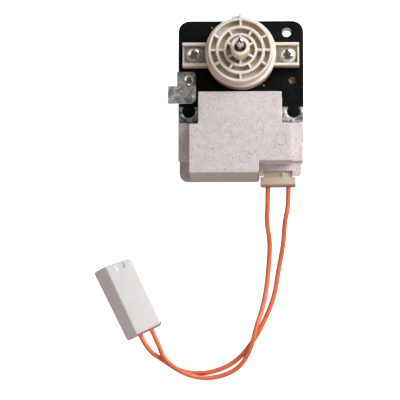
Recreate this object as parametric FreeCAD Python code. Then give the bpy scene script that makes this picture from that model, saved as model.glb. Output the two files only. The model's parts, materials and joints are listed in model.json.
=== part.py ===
import FreeCAD, Part
import math
import os

# Evaporator fan motor: a shaded-pole motor of the C-frame kind, lying on its back.
# Millimetres. +Z runs along the shaft to its output end, +Y points away from the coil.
# The origin is on the shaft axis, in the plane that the motor rests on.

V = FreeCAD.Vector
Z_AXIS = V(0, 0, 1)

# Clearances
AIR_GAP = 0.3            # rotor to stator, radial
RUNNING_GAP = 0.03       # shaft to bearing bore, radial
FIT_GAP = 0.05           # pieces that are seated in one another
SCREW_GAP = 0.15         # screw shank to its hole, radial
SHELL_GAP = 0.3          # moulded coil block to the steel beside it

# Shaft and rotor
SHAFT_D = 3.175
SHAFT_STUB = 15.0        # shaft that stands out of the front hub
SHAFT_TIP_R = 1.1        # rounding of the output end
JOURNAL_D = 3.6          # the shaft from the rear bearing to its shoulder in the hub's mouth
JOURNAL_SET = 0.2        # shoulder below the hub's top
ROTOR_D = 25.0
CAGE_RING_H = 3.0
CAGE_RING_W = 4.2
BAR_W = 2.0
BAR_DEPTH = 3.0
BAR_COUNT = 13
BAR_SKIN = 0.7           # steel between a cage bar and the rotor's surface
SPACER_D = 5.6
WASHER_D = 6.4
WASHER_T = 0.6
END_PLAY = 0.3

# Lamination stack
STACK_BACK_Z = 14.0      # resting plane to the back of the stack
STACK_T = 8.0
STACK_HALF_W = 30.0
STACK_TOP_Y = 17.55
STACK_CORNER_R = 5.4
LEG_W = 9.4
LEG_REACH = 24.65        # shaft axis to the ends of the two legs
KEY_R = 3.1              # round keys that lock the legs to the yoke
KEY_DROP = 2.1
KEY_NECK_W = 5.0
MOUNT_HOLE_D = 4.4
MOUNT_HOLE_X = 22.2
MOUNT_HOLE_Y = 11.9
SIDE_HOLE_D = 3.6        # ground screw on the left, stack rivet on the right
SIDE_HOLE_X = 24.9
SIDE_HOLE_Y = -11.6
STAKE_D = 1.3
STAKE_DEPTH = 0.3
STAKE_SPOTS = [(-14.0, 14.4), (11.2, -14.1)]
BRIDGE_NOTCH_R = 1.5     # reliefs that thin the bridges above and below the bore

# Shading rings
RING_WIRE = 2.0
RING_INNER_R = 13.6
RING_SPAN = 36.0         # degrees between the two slots of a ring
RING_START = 112.0       # first slot of the upper ring, degrees from +X
RING_CROWN = 1.6         # how far a ring stands off the faces of the stack

# Yoke with the coil on its bar
BAR_CENTRE_Y = -35.6
BAR_H = 12.0

# Front bracket
ARM_HALF_L = 28.2
ARM_HALF_W = 5.7
ARM_FLOOR_T = 2.0
ARM_RIB_T = 1.4
ARM_RIB_H = 7.6          # stack face to the tops of the ribs
ARM_LIP_T = 0.9
ARM_LIP_H = 2.6
SCREW_X = 22.5
SCREW_BOSS_D = 8.2
SCREW_BOSS_H = 3.0
FLANGE_D = 34.2
FLANGE_T = 5.4
ROOM_WALL = 1.2          # edge of a bracket's disc to the room for the rotor inside it
PLATE_T = 3.4            # pocket floor, above the tops of the ribs
BOSS_D = 30.9
BOSS_H = 7.0
RIM_T = 1.2
MIDDLE_RING_D = 23.6
MIDDLE_RING_T = 1.4
INNER_RING_D = 16.1
INNER_RING_T = 1.15
HUB_D = 9.1
HUB_H = 17.0             # flange top to the top of the hub
HUB_BORE_D = 5.7
HUB_BORE_DEPTH = 15.0
SPOKE_T = 1.1
OUTER_SPOKES = [0, 30, 90, 150, 180, 210, 270, 330]
MIDDLE_SPOKES = [0, 60, 120, 180, 240, 300]
INNER_SPOKES = [30, 90, 150, 210, 270, 330]
LOCATING_RIB_T = 1.4
LOCATING_RIB_R = 19.4
LOCATING_RIB_H = 6.0
BUMP_W = 3.4
BUMP_OUT = 0.9
BUMP_H = 2.0

# Rear bracket
CAP_WALL = 1.2
CAP_D = 13.0
REAR_PLATE_T = 3.4
REAR_PLATE_D = 34.2

# Bearings
BEARING_OFFSET = 12.0    # middle of the stack to the middle of each bearing
BEARING_R = 4.6
BEARING_L = 6.5
SEAT_POCKET_R = 6.5
SEAT_WALL = 1.5
WICK_T = 2.4
RETAINER_T = 0.4
RETAINER_OFFSET = 2.6    # bearing middle to the near face of the retainer

# Fasteners
SCREW_D = 3.4
SCREW_HEAD_D = 6.8
SCREW_HEAD_H = 2.4
RECESS_W = 0.9
RECESS_L = 3.6
RECESS_DEPTH = 1.3
NUT_FLATS = 6.0
NUT_H = 2.4
GROUND_HEAD_D = 5.3
GROUND_HEAD_H = 1.7

# Ground tab
TAB_T = 0.8
TAB_RIGHT_X = -21.75
TAB_STEM_X = -31.0
TAB_BLADE_X = -35.3
TAB_TOP_Y = -7.4
TAB_STEP_Y = -14.4
TAB_END_Y = -23.0
TAB_CORNER_R = 1.9
TAB_CHAMFER = 1.6

# Coil and its moulded block
BOBBIN_HALF_L = 18.0
BOBBIN_HALF_H = 14.7     # along Y, from the middle of the bar
BOBBIN_HALF_D = 15.6     # along Z, from the middle of the stack
BOBBIN_WALL = 1.0
BOBBIN_CHEEK_T = 1.2
WINDING_MARGIN = 1.2     # cheek edge to the outside of the winding
WINDING_CORNER_R = 5.0
BLOCK_WALL = 1.7
BLOCK_H = 36.0
BLOCK_LEFT_GAP = 0.2     # block to the legs of the stack
BLOCK_RIGHT_GAP = 1.2
BLOCK_WIDE_LEFT = -24.8
BLOCK_WIDE_RIGHT = 24.6
BLOCK_SHOULDER_Y = -34.8
BLOCK_END_Y = -58.6
BLOCK_EDGE_R = 0.6
BLOCK_CORNER_R = 1.5
NOTCH_X = 8.7
NOTCH_Y = -52.7
WING_LEFT = -30.0
WING_RIGHT = 29.7
WING_TOP_Y = -32.7
WING_END_Y = -51.4
WING_T = 2.0             # moulding over each face of the yoke
BASE_T = 3.0
BASE_LEFT = -30.3
BASE_CORNER_R = 4.0

# Header and its connector
PITCH = 10.0
CONNECTOR_X = 17.85
LEAD_Z = 15.0
HEADER_DEPTH_Y = -53.4   # floor of the header's socket
HEADER_EDGE_Y = -55.9
HEADER_WALL = 2.0
HEADER_SIDE = 4.2        # line of a pin to the side of the header
LUG_END_Y = -57.7
LUG_T = 1.7
LUG_OUTER_X = 28.8
SHROUD_SIDE = 1.75       # line of a pin to the side of the part inside the socket
SHROUD_H = 10.0
BODY_SIDE = 3.4          # line of a pin to the side of the connector's body
BODY_H = 12.0
BODY_END_Y = -62.4
KEY_RIB_W = 2.0
KEY_RIB_H = 0.6
KEY_RIB_X = 20.25
PIN_D = 1.2
PIN_ROOT = 1.6
PIN_OUT = 6.0
CONTACT_W = 2.4
CONTACT_L = 7.0
CONTACT_BORE_GAP = 0.05

# Leads and plug
LEAD_D = 2.3
LEAD_ARC_SHARE = 0.45
PLUG_L = 37.0
PLUG_END_SKEW = 1.8      # how much shorter the right side is than the left
PLUG_H = 12.5
PLUG_TURN = 115.2        # degrees from +X to the plug's long axis
PLUG_ENTRY = (-46.65, -132.2)
PLUG_LEAD_Z = 6.25
PLUG_LEAD_PITCH = 6.0
PLUG_RIGHT = 9.05        # side faces, across from the middle of the two leads
PLUG_TOP_LEFT = -4.4
PLUG_FOOT_LEFT = -10.6
PLUG_FOOT_TAPER = 0.7    # narrower foot at the leads
PLUG_FOOT_H = 3.6
PLUG_EDGE_R = 0.9
PLUG_NEAR_R = 2.0
PLUG_FAR_R = 3.0
PLUG_MARK_X = 2.3        # shallow rectangular recess in the top, near the far end
PLUG_MARK_Y = 33.4
PLUG_MARK_L = 4.4
PLUG_MARK_W = 3.0
PLUG_MARK_DEPTH = 0.5
PLUG_CONTACT_D = 2.8
PLUG_CONTACT_BORE = 1.9
PLUG_CONTACT_L = 14.0
PLUG_CONTACT_SET = 2.5

# Places that follow from the sizes above
STACK_MID_Z = STACK_BACK_Z + STACK_T / 2
STACK_FRONT_Z = STACK_BACK_Z + STACK_T
BORE_R = ROTOR_D / 2 + AIR_GAP
SHAFT_R = SHAFT_D / 2
JOURNAL_R = JOURNAL_D / 2
LEG_INNER_X = STACK_HALF_W - LEG_W
KEY_X = STACK_HALF_W - LEG_W / 2
KEY_Y = -LEG_REACH - KEY_DROP
BLOCK_LEFT_X = BLOCK_LEFT_GAP - LEG_INNER_X
BLOCK_RIGHT_X = LEG_INNER_X - BLOCK_RIGHT_GAP
BLOCK_TOP_Y = BAR_CENTRE_Y + BOBBIN_HALF_H + BLOCK_WALL
STACK_WAIST_Y = BLOCK_TOP_Y + SHELL_GAP
YOKE_END_Y = BAR_CENTRE_Y - BAR_H / 2
YOKE_WINDOW_Y = BAR_CENTRE_Y + BAR_H / 2
ARM_FLOOR_Z = STACK_FRONT_Z + ARM_FLOOR_T
FLANGE_Z = STACK_FRONT_Z + ARM_RIB_H
FLANGE_TOP_Z = FLANGE_Z + FLANGE_T
PLATE_TOP_Z = FLANGE_Z + PLATE_T
BOSS_TOP_Z = FLANGE_TOP_Z + BOSS_H
HUB_TOP_Z = FLANGE_TOP_Z + HUB_H
SCREW_SEAT_Z = ARM_FLOOR_Z + SCREW_BOSS_H
NUT_SEAT_Z = STACK_BACK_Z - ARM_FLOOR_T - SCREW_BOSS_H
REAR_PLATE_Z = STACK_BACK_Z - ARM_RIB_H
SHAFT_END_Z = CAP_WALL + END_PLAY
SHAFT_TIP_Z = HUB_TOP_Z + SHAFT_STUB
FRONT_BEARING_Z = STACK_MID_Z + BEARING_OFFSET
BAR_OUTER_R = ROTOR_D / 2 - BAR_SKIN
LEAD_XS = [CONNECTOR_X - PITCH / 2, CONNECTOR_X + PITCH / 2]
HEADER_HALF_W = PITCH / 2 + HEADER_SIDE
SHROUD_W = PITCH + 2 * SHROUD_SIDE
BODY_W = PITCH + 2 * BODY_SIDE

# Routes of the two leads, from the connector to the plug. The first one goes over the other twice.
FLOOR_Z = LEAD_D / 2
CROSSING_Z = 6.5
ROUTE_A = [
    (LEAD_XS[0], BODY_END_Y, LEAD_Z), (LEAD_XS[0], -71.4, LEAD_Z), (12.1, -79.4, 10.8),
    (13.9, -88.6, 4.0), (13.2, -99.4, FLOOR_Z), (12.1, -110.6, FLOOR_Z), (10.1, -120.9, 2.8),
    (7.1, -129.5, CROSSING_Z), (4.9, -139.5, CROSSING_Z), (-0.6, -149.5, 3.2),
    (-10.7, -154.1, FLOOR_Z), (-20.8, -154.7, 2.8), (-29.7, -151.9, CROSSING_Z),
    (-37.6, -145.9, CROSSING_Z), (-40.529, -138.161, PLUG_LEAD_Z),
    (-43.936, -130.923, PLUG_LEAD_Z),
]
ROUTE_B = [
    (LEAD_XS[1], BODY_END_Y, LEAD_Z), (LEAD_XS[1], -71.4, LEAD_Z), (20.9, -79.6, 10.6),
    (20.3, -89.7, 3.6), (17.9, -101.8, FLOOR_Z), (16.0, -114.6, FLOOR_Z), (11.5, -125.7, FLOOR_Z),
    (5.1, -137.6, FLOOR_Z), (-2.7, -146.4, FLOOR_Z), (-12.2, -151.1, FLOOR_Z),
    (-21.8, -152.5, FLOOR_Z), (-30.8, -150.8, FLOOR_Z), (-37.7, -146.3, 3.2),
    (-45.745, -141.168, PLUG_LEAD_Z), (-49.364, -133.477, PLUG_LEAD_Z),
]


# Building blocks

def box(x0, x1, y0, y1, z0, z1):
    return Part.makeBox(x1 - x0, y1 - y0, z1 - z0, V(x0, y0, z0))


def rod(radius, start, end):
    return Part.makeCylinder(radius, (end - start).Length, start, end - start)


def post(radius, x, y, z0, z1):
    return Part.makeCylinder(radius, z1 - z0, V(x, y, z0))


def ring(outer_r, inner_r, z0, z1):
    return post(outer_r, 0, 0, z0, z1).cut(post(inner_r, 0, 0, z0, z1))


def turned(profile, x=0.0, y=0.0):
    """Solid of revolution about a line along Z; the profile holds (radius, z) pairs."""
    points = [V(x + r, y, z) for r, z in profile]
    face = Part.Face(Part.makePolygon(points + [points[0]]))
    return face.revolve(V(x, y, 0), Z_AXIS, 360)


def outline(corners, z=0.0):
    """Closed wire through (x, y, radius) corners, each rounded by its own radius."""
    bends = []
    for i, (x, y, radius) in enumerate(corners):
        corner = V(x, y, z)
        before = V(corners[i - 1][0], corners[i - 1][1], z) - corner
        after_x, after_y = corners[(i + 1) % len(corners)][:2]
        after = V(after_x, after_y, z) - corner
        before.normalize()
        after.normalize()
        if radius == 0:
            bends.append((corner, None, corner))
            continue
        half = before.getAngle(after) / 2
        inward = (before + after).normalize()
        reach = radius / math.tan(half)
        middle = corner + inward * (radius / math.sin(half) - radius)
        bends.append((corner + before * reach, middle, corner + after * reach))
    edges = []
    for i, (start, middle, end) in enumerate(bends):
        if middle is not None:
            edges.append(Part.Arc(start, middle, end).toShape())
        following = bends[(i + 1) % len(bends)][0]
        if (following - end).Length > 1e-6:
            edges.append(Part.LineSegment(end, following).toShape())
    return Part.Wire(edges)


def plate(corners, z0, z1):
    return Part.Face(outline(corners, z0)).extrude(V(0, 0, z1 - z0))


def joined(shapes):
    body = shapes[0]
    for shape in shapes[1:]:
        body = body.fuse(shape)
    return body.removeSplitter()


def mirrored_x(shape):
    return shape.mirror(V(0, 0, 0), V(1, 0, 0))


def flipped(shape):
    """The same shape on the other face of the stack."""
    return shape.mirror(V(0, 0, STACK_MID_Z), Z_AXIS)


def spoke(angle, r0, r1, z0, z1):
    bar = box(r0, r1, -SPOKE_T / 2, SPOKE_T / 2, z0, z1)
    bar.rotate(V(0, 0, 0), Z_AXIS, angle)
    return bar


# Stator steel

def stack_outline():
    right = [
        (STACK_HALF_W, STACK_TOP_Y, STACK_CORNER_R),
        (STACK_HALF_W, -LEG_REACH, 0),
        (LEG_INNER_X, -LEG_REACH, 0),
        (LEG_INNER_X, STACK_WAIST_Y, BLOCK_CORNER_R),
    ]
    left = [(-x, y, r) for x, y, r in reversed(right)]
    return right + left


def leg_key(gap, z0, z1):
    """Round key on the end of the right leg, grown by a gap for its socket."""
    head = post(KEY_R + gap, KEY_X, KEY_Y, z0, z1)
    half_neck = KEY_NECK_W / 2 + gap
    neck = box(KEY_X - half_neck, KEY_X + half_neck, KEY_Y, -LEG_REACH, z0, z1)
    return head.fuse(neck)


def ring_slot(angle, gap, z0, z1):
    """Slot for one side of a shading ring, out from the rotor bore."""
    half = RING_WIRE / 2 + gap
    slot = box(RING_INNER_R - gap, RING_INNER_R + RING_WIRE + gap, -half, half, z0, z1)
    slot.rotate(V(0, 0, 0), Z_AXIS, angle)
    return slot


def ring_angles(start):
    return [start, start + RING_SPAN]


def stator_stack():
    z0, z1 = STACK_BACK_Z, STACK_FRONT_Z
    body = plate(stack_outline(), z0, z1)
    key = leg_key(0, z0, z1)
    body = joined([body, key, mirrored_x(key)])
    holes = [
        post(BORE_R, 0, 0, z0, z1),
        post(BRIDGE_NOTCH_R, 0, BORE_R, z0, z1),
        post(BRIDGE_NOTCH_R, 0, -BORE_R, z0, z1),
        post(MOUNT_HOLE_D / 2, MOUNT_HOLE_X, MOUNT_HOLE_Y, z0, z1),
        post(SIDE_HOLE_D / 2, SIDE_HOLE_X, SIDE_HOLE_Y, z0, z1),
        post(SIDE_HOLE_D / 2, -SIDE_HOLE_X, SIDE_HOLE_Y, z0, z1),
        post(SCREW_D / 2 + SCREW_GAP, SCREW_X, 0, z0, z1),
        post(SCREW_D / 2 + SCREW_GAP, -SCREW_X, 0, z0, z1),
    ]
    for start in (RING_START, RING_START + 180):
        for angle in ring_angles(start):
            holes.append(ring_slot(angle, FIT_GAP, z0, z1))
    for x, y in STAKE_SPOTS:
        holes.append(post(STAKE_D / 2, x, y, z1 - STAKE_DEPTH, z1))
    for hole in holes:
        body = body.cut(hole)
    return body


def yoke_stack():
    z0, z1 = STACK_BACK_Z, STACK_FRONT_Z
    top = -LEG_REACH - FIT_GAP
    right = [
        (STACK_HALF_W, top, 0),
        (STACK_HALF_W, YOKE_END_Y, BLOCK_CORNER_R),
    ]
    left = [(-x, y, r) for x, y, r in reversed(right)]
    window = [(-LEG_INNER_X, top, 0), (-LEG_INNER_X, YOKE_WINDOW_Y, 0)]
    window += [(-x, y, r) for x, y, r in reversed(window)]
    body = plate(right + left + window, z0, z1)
    socket = leg_key(FIT_GAP, z0, z1)
    return body.cut(socket).cut(mirrored_x(socket))


def shading_ring(start):
    """Copper loop round one shaded pole tip: two sides in slots and a crown on each face."""
    z0 = STACK_BACK_Z - RING_CROWN
    z1 = STACK_FRONT_Z + RING_CROWN
    sides = [ring_slot(angle, 0, z0, z1) for angle in ring_angles(start)]
    sweep = Part.makeCylinder(RING_INNER_R + RING_WIRE, z1 - z0, V(0, 0, z0), Z_AXIS, RING_SPAN)
    core = Part.makeCylinder(RING_INNER_R, z1 - z0, V(0, 0, z0), Z_AXIS, RING_SPAN)
    arch = sweep.cut(core)
    arch.rotate(V(0, 0, 0), Z_AXIS, start)
    reach = STACK_HALF_W
    clear = box(-reach, reach, -reach, reach, STACK_BACK_Z - FIT_GAP, STACK_FRONT_Z + FIT_GAP)
    return joined([arch.cut(clear)] + sides)


# Brackets and bearings

def arm_channel():
    """The two arms in front of the stack: floor, side ribs, end lips and screw bosses."""
    front = STACK_FRONT_Z
    inner = ARM_HALF_W - ARM_RIB_T
    floor = box(-ARM_HALF_L, ARM_HALF_L, -ARM_HALF_W, ARM_HALF_W, front, ARM_FLOOR_Z)
    parts = [floor]
    for side in (-1, 1):
        low, high = sorted((side * inner, side * ARM_HALF_W))
        parts.append(box(-ARM_HALF_L, ARM_HALF_L, low, high, front, FLANGE_Z))
        lip0, lip1 = sorted((side * (ARM_HALF_L - ARM_LIP_T), side * ARM_HALF_L))
        parts.append(box(lip0, lip1, -ARM_HALF_W, ARM_HALF_W, front, ARM_FLOOR_Z + ARM_LIP_H))
        parts.append(post(SCREW_BOSS_D / 2, side * SCREW_X, 0, front, SCREW_SEAT_Z))
    return joined(parts)


def rotor_room(disc_d, z0, z1):
    """Space for the rotor and the shading rings, inside the edge of a bracket's disc."""
    return post(disc_d / 2 - ROOM_WALL, 0, 0, z0, z1)


def screw_holes(z0, z1):
    radius = SCREW_D / 2 + SCREW_GAP
    return post(radius, SCREW_X, 0, z0, z1).fuse(post(radius, -SCREW_X, 0, z0, z1))


def bearing_seat(shaft_hole_z):
    """Cutter for the front bearing: retainer pocket, spherical seat and shaft hole."""
    ball = Part.makeSphere(BEARING_R + FIT_GAP, V(0, 0, FRONT_BEARING_Z))
    ball = ball.common(post(BEARING_R + 1, 0, 0, STACK_FRONT_Z, FRONT_BEARING_Z + BEARING_L / 2))
    pocket = post(SEAT_POCKET_R, 0, 0, STACK_FRONT_Z, FRONT_BEARING_Z)
    hole = post(JOURNAL_R + AIR_GAP, 0, 0, STACK_FRONT_Z, shaft_hole_z)
    return joined([pocket, ball, hole])


def seat_tube(end_z):
    """Tube that carries the bearing, down from the plate towards the rotor."""
    return post(SEAT_POCKET_R + SEAT_WALL, 0, 0, FRONT_BEARING_Z - BEARING_L / 2, end_z)


def disc_rings():
    """Concentric rings and hub that stand on the flange."""
    z0 = PLATE_TOP_Z - 1
    boss_r = BOSS_D / 2
    return [
        ring(boss_r, boss_r - RIM_T, z0, BOSS_TOP_Z),
        ring(MIDDLE_RING_D / 2, MIDDLE_RING_D / 2 - MIDDLE_RING_T, z0, BOSS_TOP_Z),
        ring(INNER_RING_D / 2, INNER_RING_D / 2 - INNER_RING_T, z0, BOSS_TOP_Z),
        post(HUB_D / 2, 0, 0, z0, HUB_TOP_Z),
    ]


def disc_spokes():
    z0 = PLATE_TOP_Z - 1
    annuli = [
        (OUTER_SPOKES, MIDDLE_RING_D / 2 - 0.3, BOSS_D / 2 - RIM_T + 0.3),
        (MIDDLE_SPOKES, INNER_RING_D / 2 - 0.3, MIDDLE_RING_D / 2 - MIDDLE_RING_T + 0.3),
        (INNER_SPOKES, HUB_D / 2 - 0.3, INNER_RING_D / 2 - INNER_RING_T + 0.3),
    ]
    spokes = []
    for angles, r0, r1 in annuli:
        for angle in angles:
            spokes.append(spoke(angle, r0, r1, z0, BOSS_TOP_Z))
    return spokes


def front_disc():
    """Flange with its raised rings, spokes, hub, locating rib and bump."""
    flange_r = FLANGE_D / 2
    flange = post(flange_r, 0, 0, FLANGE_Z, FLANGE_TOP_Z)
    pocket = post(BOSS_D / 2 - RIM_T, 0, 0, PLATE_TOP_Z, FLANGE_TOP_Z)
    parts = [flange.cut(pocket)] + disc_rings() + disc_spokes()
    half_rib = LOCATING_RIB_T / 2
    rib_z = FLANGE_TOP_Z - 1
    parts.append(box(-half_rib, half_rib, BOSS_D / 2 - RIM_T / 2, LOCATING_RIB_R, rib_z,
                     rib_z + LOCATING_RIB_H))
    parts.append(box(-half_rib - BUMP_W, -half_rib, flange_r - 1, flange_r + BUMP_OUT,
                     FLANGE_TOP_Z - BUMP_H, FLANGE_TOP_Z))
    return joined(parts)


def front_bracket():
    arms = arm_channel().cut(rotor_room(FLANGE_D, STACK_FRONT_Z, FLANGE_Z))
    body = joined([arms, front_disc(), seat_tube(PLATE_TOP_Z)])
    body = body.cut(screw_holes(STACK_FRONT_Z, SCREW_SEAT_Z))
    body = body.cut(bearing_seat(HUB_TOP_Z))
    return body.cut(post(HUB_BORE_D / 2, 0, 0, HUB_TOP_Z - HUB_BORE_DEPTH, HUB_TOP_Z))


def rear_bracket():
    """Arms like the front ones, a plain plate and a closed bearing cap that the motor rests on."""
    arms = flipped(arm_channel()).cut(rotor_room(REAR_PLATE_D, REAR_PLATE_Z, STACK_BACK_Z))
    back_z = REAR_PLATE_Z - REAR_PLATE_T
    edge = 0.8
    radius = REAR_PLATE_D / 2
    disc = turned([(0, back_z), (radius - edge, back_z), (radius, back_z + edge),
                   (radius, REAR_PLATE_Z), (0, REAR_PLATE_Z)])
    cap_r = CAP_D / 2
    cap = turned([(0, 0), (cap_r - edge, 0), (cap_r, edge), (cap_r + edge, back_z + 1),
                  (0, back_z + 1)])
    stalk = flipped(seat_tube(FRONT_BEARING_Z))
    body = joined([arms, disc, cap, stalk])
    body = body.cut(flipped(screw_holes(STACK_FRONT_Z, SCREW_SEAT_Z)))
    return body.cut(flipped(bearing_seat(2 * STACK_MID_Z - CAP_WALL)))


def front_bearing():
    middle = V(0, 0, FRONT_BEARING_Z)
    half = BEARING_L / 2
    ball = Part.makeSphere(BEARING_R, middle)
    ball = ball.common(post(BEARING_R + 1, 0, 0, middle.z - half, middle.z + half))
    return ball.cut(post(JOURNAL_R + RUNNING_GAP, 0, 0, middle.z - half, middle.z + half))


def front_wick():
    """Oil felt round the bearing, between the seat and the retainer."""
    z1 = FRONT_BEARING_Z - FIT_GAP
    felt = ring(SEAT_POCKET_R - FIT_GAP, JOURNAL_R + 1, z1 - WICK_T, z1)
    return felt.cut(Part.makeSphere(BEARING_R + FIT_GAP, V(0, 0, FRONT_BEARING_Z)))


def front_retainer():
    """Spring-steel disc that holds the bearing in its seat."""
    z1 = FRONT_BEARING_Z - RETAINER_OFFSET
    hole_r = math.sqrt(BEARING_R ** 2 - RETAINER_OFFSET ** 2) + FIT_GAP
    disc = ring(SEAT_POCKET_R - FIT_GAP, hole_r, z1 - RETAINER_T, z1)
    for angle in (30, 150, 270):
        slit = spoke(angle, 0, hole_r + 1.3, z1 - RETAINER_T, z1)
        disc = disc.cut(slit)
    return disc


# Rotor

def shaft():
    """Journal for the bearings and the rotor, and a thinner output end with a rounded tip."""
    shoulder_z = HUB_TOP_Z - JOURNAL_SET
    end = post(SHAFT_R, 0, 0, shoulder_z, SHAFT_TIP_Z)
    tips = [e for e in end.Edges if abs(e.CenterOfMass.z - SHAFT_TIP_Z) < 1e-6]
    return end.makeFillet(SHAFT_TIP_R, tips).fuse(post(JOURNAL_R, 0, 0, SHAFT_END_Z, shoulder_z))


def cage_bars(gap, z0, z1):
    """Flat bars of the cage, grown by a gap for their slots in the core."""
    bars = []
    half = BAR_W / 2 + gap
    for i in range(BAR_COUNT):
        bar = box(BAR_OUTER_R - BAR_DEPTH - gap, BAR_OUTER_R + gap, -half, half, z0, z1)
        bar.rotate(V(0, 0, 0), Z_AXIS, 360 * i / BAR_COUNT)
        bars.append(bar)
    return bars


def rotor_core():
    body = ring(ROTOR_D / 2, JOURNAL_R + FIT_GAP, STACK_BACK_Z, STACK_FRONT_Z)
    for slot in cage_bars(FIT_GAP, STACK_BACK_Z, STACK_FRONT_Z):
        body = body.cut(slot)
    return body


def rotor_cage():
    """Die-cast cage: one bar in each slot and an end ring on each face."""
    outer = ROTOR_D / 2 - AIR_GAP
    inner = outer - CAGE_RING_W
    parts = cage_bars(0, STACK_BACK_Z - 1, STACK_FRONT_Z + 1)
    parts.append(ring(outer, inner, STACK_FRONT_Z, STACK_FRONT_Z + CAGE_RING_H))
    parts.append(ring(outer, inner, STACK_BACK_Z - CAGE_RING_H, STACK_BACK_Z))
    return joined(parts)


def front_washer_z():
    return FRONT_BEARING_Z - BEARING_L / 2 - END_PLAY - WASHER_T


def front_spacer():
    return ring(SPACER_D / 2, JOURNAL_R + FIT_GAP, STACK_FRONT_Z, front_washer_z())


def thrust_washers():
    z0 = front_washer_z()
    washer = ring(WASHER_D / 2, JOURNAL_R + FIT_GAP, z0, z0 + WASHER_T)
    return Part.makeCompound([washer, flipped(washer)])


# Fasteners and the ground tab

def cross_recess(x, y, z):
    """Cross-shaped driver recess, cut down from a screw's crown."""
    long, short = RECESS_L / 2, RECESS_W / 2
    bars = box(x - long, x + long, y - short, y + short, z - RECESS_DEPTH, z)
    return bars.fuse(box(x - short, x + short, y - long, y + long, z - RECESS_DEPTH, z))


def pan_screw(x, y, seat_z, end_z, head_d, head_h):
    r = head_d / 2
    shank = SCREW_D / 2
    profile = [
        (0, end_z), (shank - 0.5, end_z), (shank, end_z + 0.8), (shank, seat_z), (r, seat_z),
        (r, seat_z + head_h * 0.5), (r * 0.72, seat_z + head_h), (0, seat_z + head_h),
    ]
    return turned(profile, x, y).cut(cross_recess(x, y, seat_z + head_h))


def bracket_screws():
    end_z = NUT_SEAT_Z - NUT_H - 0.4
    screws = []
    for x in (-SCREW_X, SCREW_X):
        screws.append(pan_screw(x, 0, SCREW_SEAT_Z, end_z, SCREW_HEAD_D, SCREW_HEAD_H))
    return Part.makeCompound(screws)


def bracket_nuts():
    nuts = []
    radius = NUT_FLATS / math.sqrt(3)
    for x in (-SCREW_X, SCREW_X):
        corners = []
        for i in range(6):
            angle = math.pi / 3 * i
            corners.append((x + radius * math.cos(angle), radius * math.sin(angle), 0))
        nut = plate(corners, NUT_SEAT_Z - NUT_H, NUT_SEAT_Z)
        nuts.append(nut.cut(post(SCREW_D / 2 + FIT_GAP, x, 0, NUT_SEAT_Z - NUT_H, NUT_SEAT_Z)))
    return Part.makeCompound(nuts)


def ground_tab():
    """Zinc-plated strip: a stem under the screw and a blade that reaches past the stack."""
    corners = [
        (TAB_RIGHT_X, TAB_TOP_Y, TAB_CORNER_R),
        (TAB_RIGHT_X, TAB_END_Y + TAB_CHAMFER, 0),
        (TAB_RIGHT_X - TAB_CHAMFER, TAB_END_Y, 0),
        (TAB_BLADE_X, TAB_END_Y, 0.3),
        (TAB_BLADE_X, TAB_STEP_Y, 0.3),
        (TAB_STEM_X, TAB_STEP_Y, 0.3),
        (TAB_STEM_X, TAB_TOP_Y, 0.3),
    ]
    z0 = STACK_FRONT_Z
    strip = plate(corners, z0, z0 + TAB_T)
    return strip.cut(post(SCREW_D / 2 + SCREW_GAP, -SIDE_HOLE_X, SIDE_HOLE_Y, z0, z0 + TAB_T))


def ground_screw():
    seat = STACK_FRONT_Z + TAB_T
    end_z = STACK_BACK_Z + 1
    return pan_screw(-SIDE_HOLE_X, SIDE_HOLE_Y, seat, end_z, GROUND_HEAD_D, GROUND_HEAD_H)


def stack_rivet():
    """Rivet that ties the laminations, its hollow end just below the front face."""
    radius = SIDE_HOLE_D / 2 - FIT_GAP
    top = STACK_FRONT_Z - 0.5
    body = post(radius, SIDE_HOLE_X, SIDE_HOLE_Y, STACK_BACK_Z, top)
    dish = Part.makeCone(0.5, radius - 0.25, 0.9, V(SIDE_HOLE_X, SIDE_HOLE_Y, top - 0.9))
    return body.cut(dish)


# Coil

def around_bar(half_x, half_y, half_z, radius=0.0):
    """Block centred on the yoke's bar, its long edges rounded by the radius."""
    cy, cz = BAR_CENTRE_Y, STACK_MID_Z
    body = box(-half_x, half_x, cy - half_y, cy + half_y, cz - half_z, cz + half_z)
    if radius > 0:
        long_edges = [e for e in body.Edges if abs(e.Length - 2 * half_x) < 1e-6]
        body = body.makeFillet(radius, long_edges)
    return body


def barrel_halves(extra):
    gap = 3 * FIT_GAP + extra
    return BAR_H / 2 + gap, STACK_T / 2 + gap


def bobbin():
    half_y, half_z = barrel_halves(BOBBIN_WALL)
    barrel = around_bar(BOBBIN_HALF_L, half_y, half_z, BOBBIN_WALL)
    cheek = around_bar(BOBBIN_HALF_L, BOBBIN_HALF_H, BOBBIN_HALF_D, 2.0)
    middle = around_bar(BOBBIN_HALF_L - BOBBIN_CHEEK_T, BOBBIN_HALF_H, BOBBIN_HALF_D)
    body = joined([barrel, cheek.cut(middle)])
    window_y, window_z = barrel_halves(0)
    return body.cut(around_bar(BOBBIN_HALF_L, window_y, window_z))


def coil_winding():
    half_y, half_z = barrel_halves(BOBBIN_WALL + FIT_GAP)
    half_x = BOBBIN_HALF_L - BOBBIN_CHEEK_T - FIT_GAP
    outer = around_bar(half_x, BOBBIN_HALF_H - WINDING_MARGIN, BOBBIN_HALF_D - WINDING_MARGIN,
                       WINDING_CORNER_R)
    return outer.cut(around_bar(half_x, half_y, half_z, BOBBIN_WALL))


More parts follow.
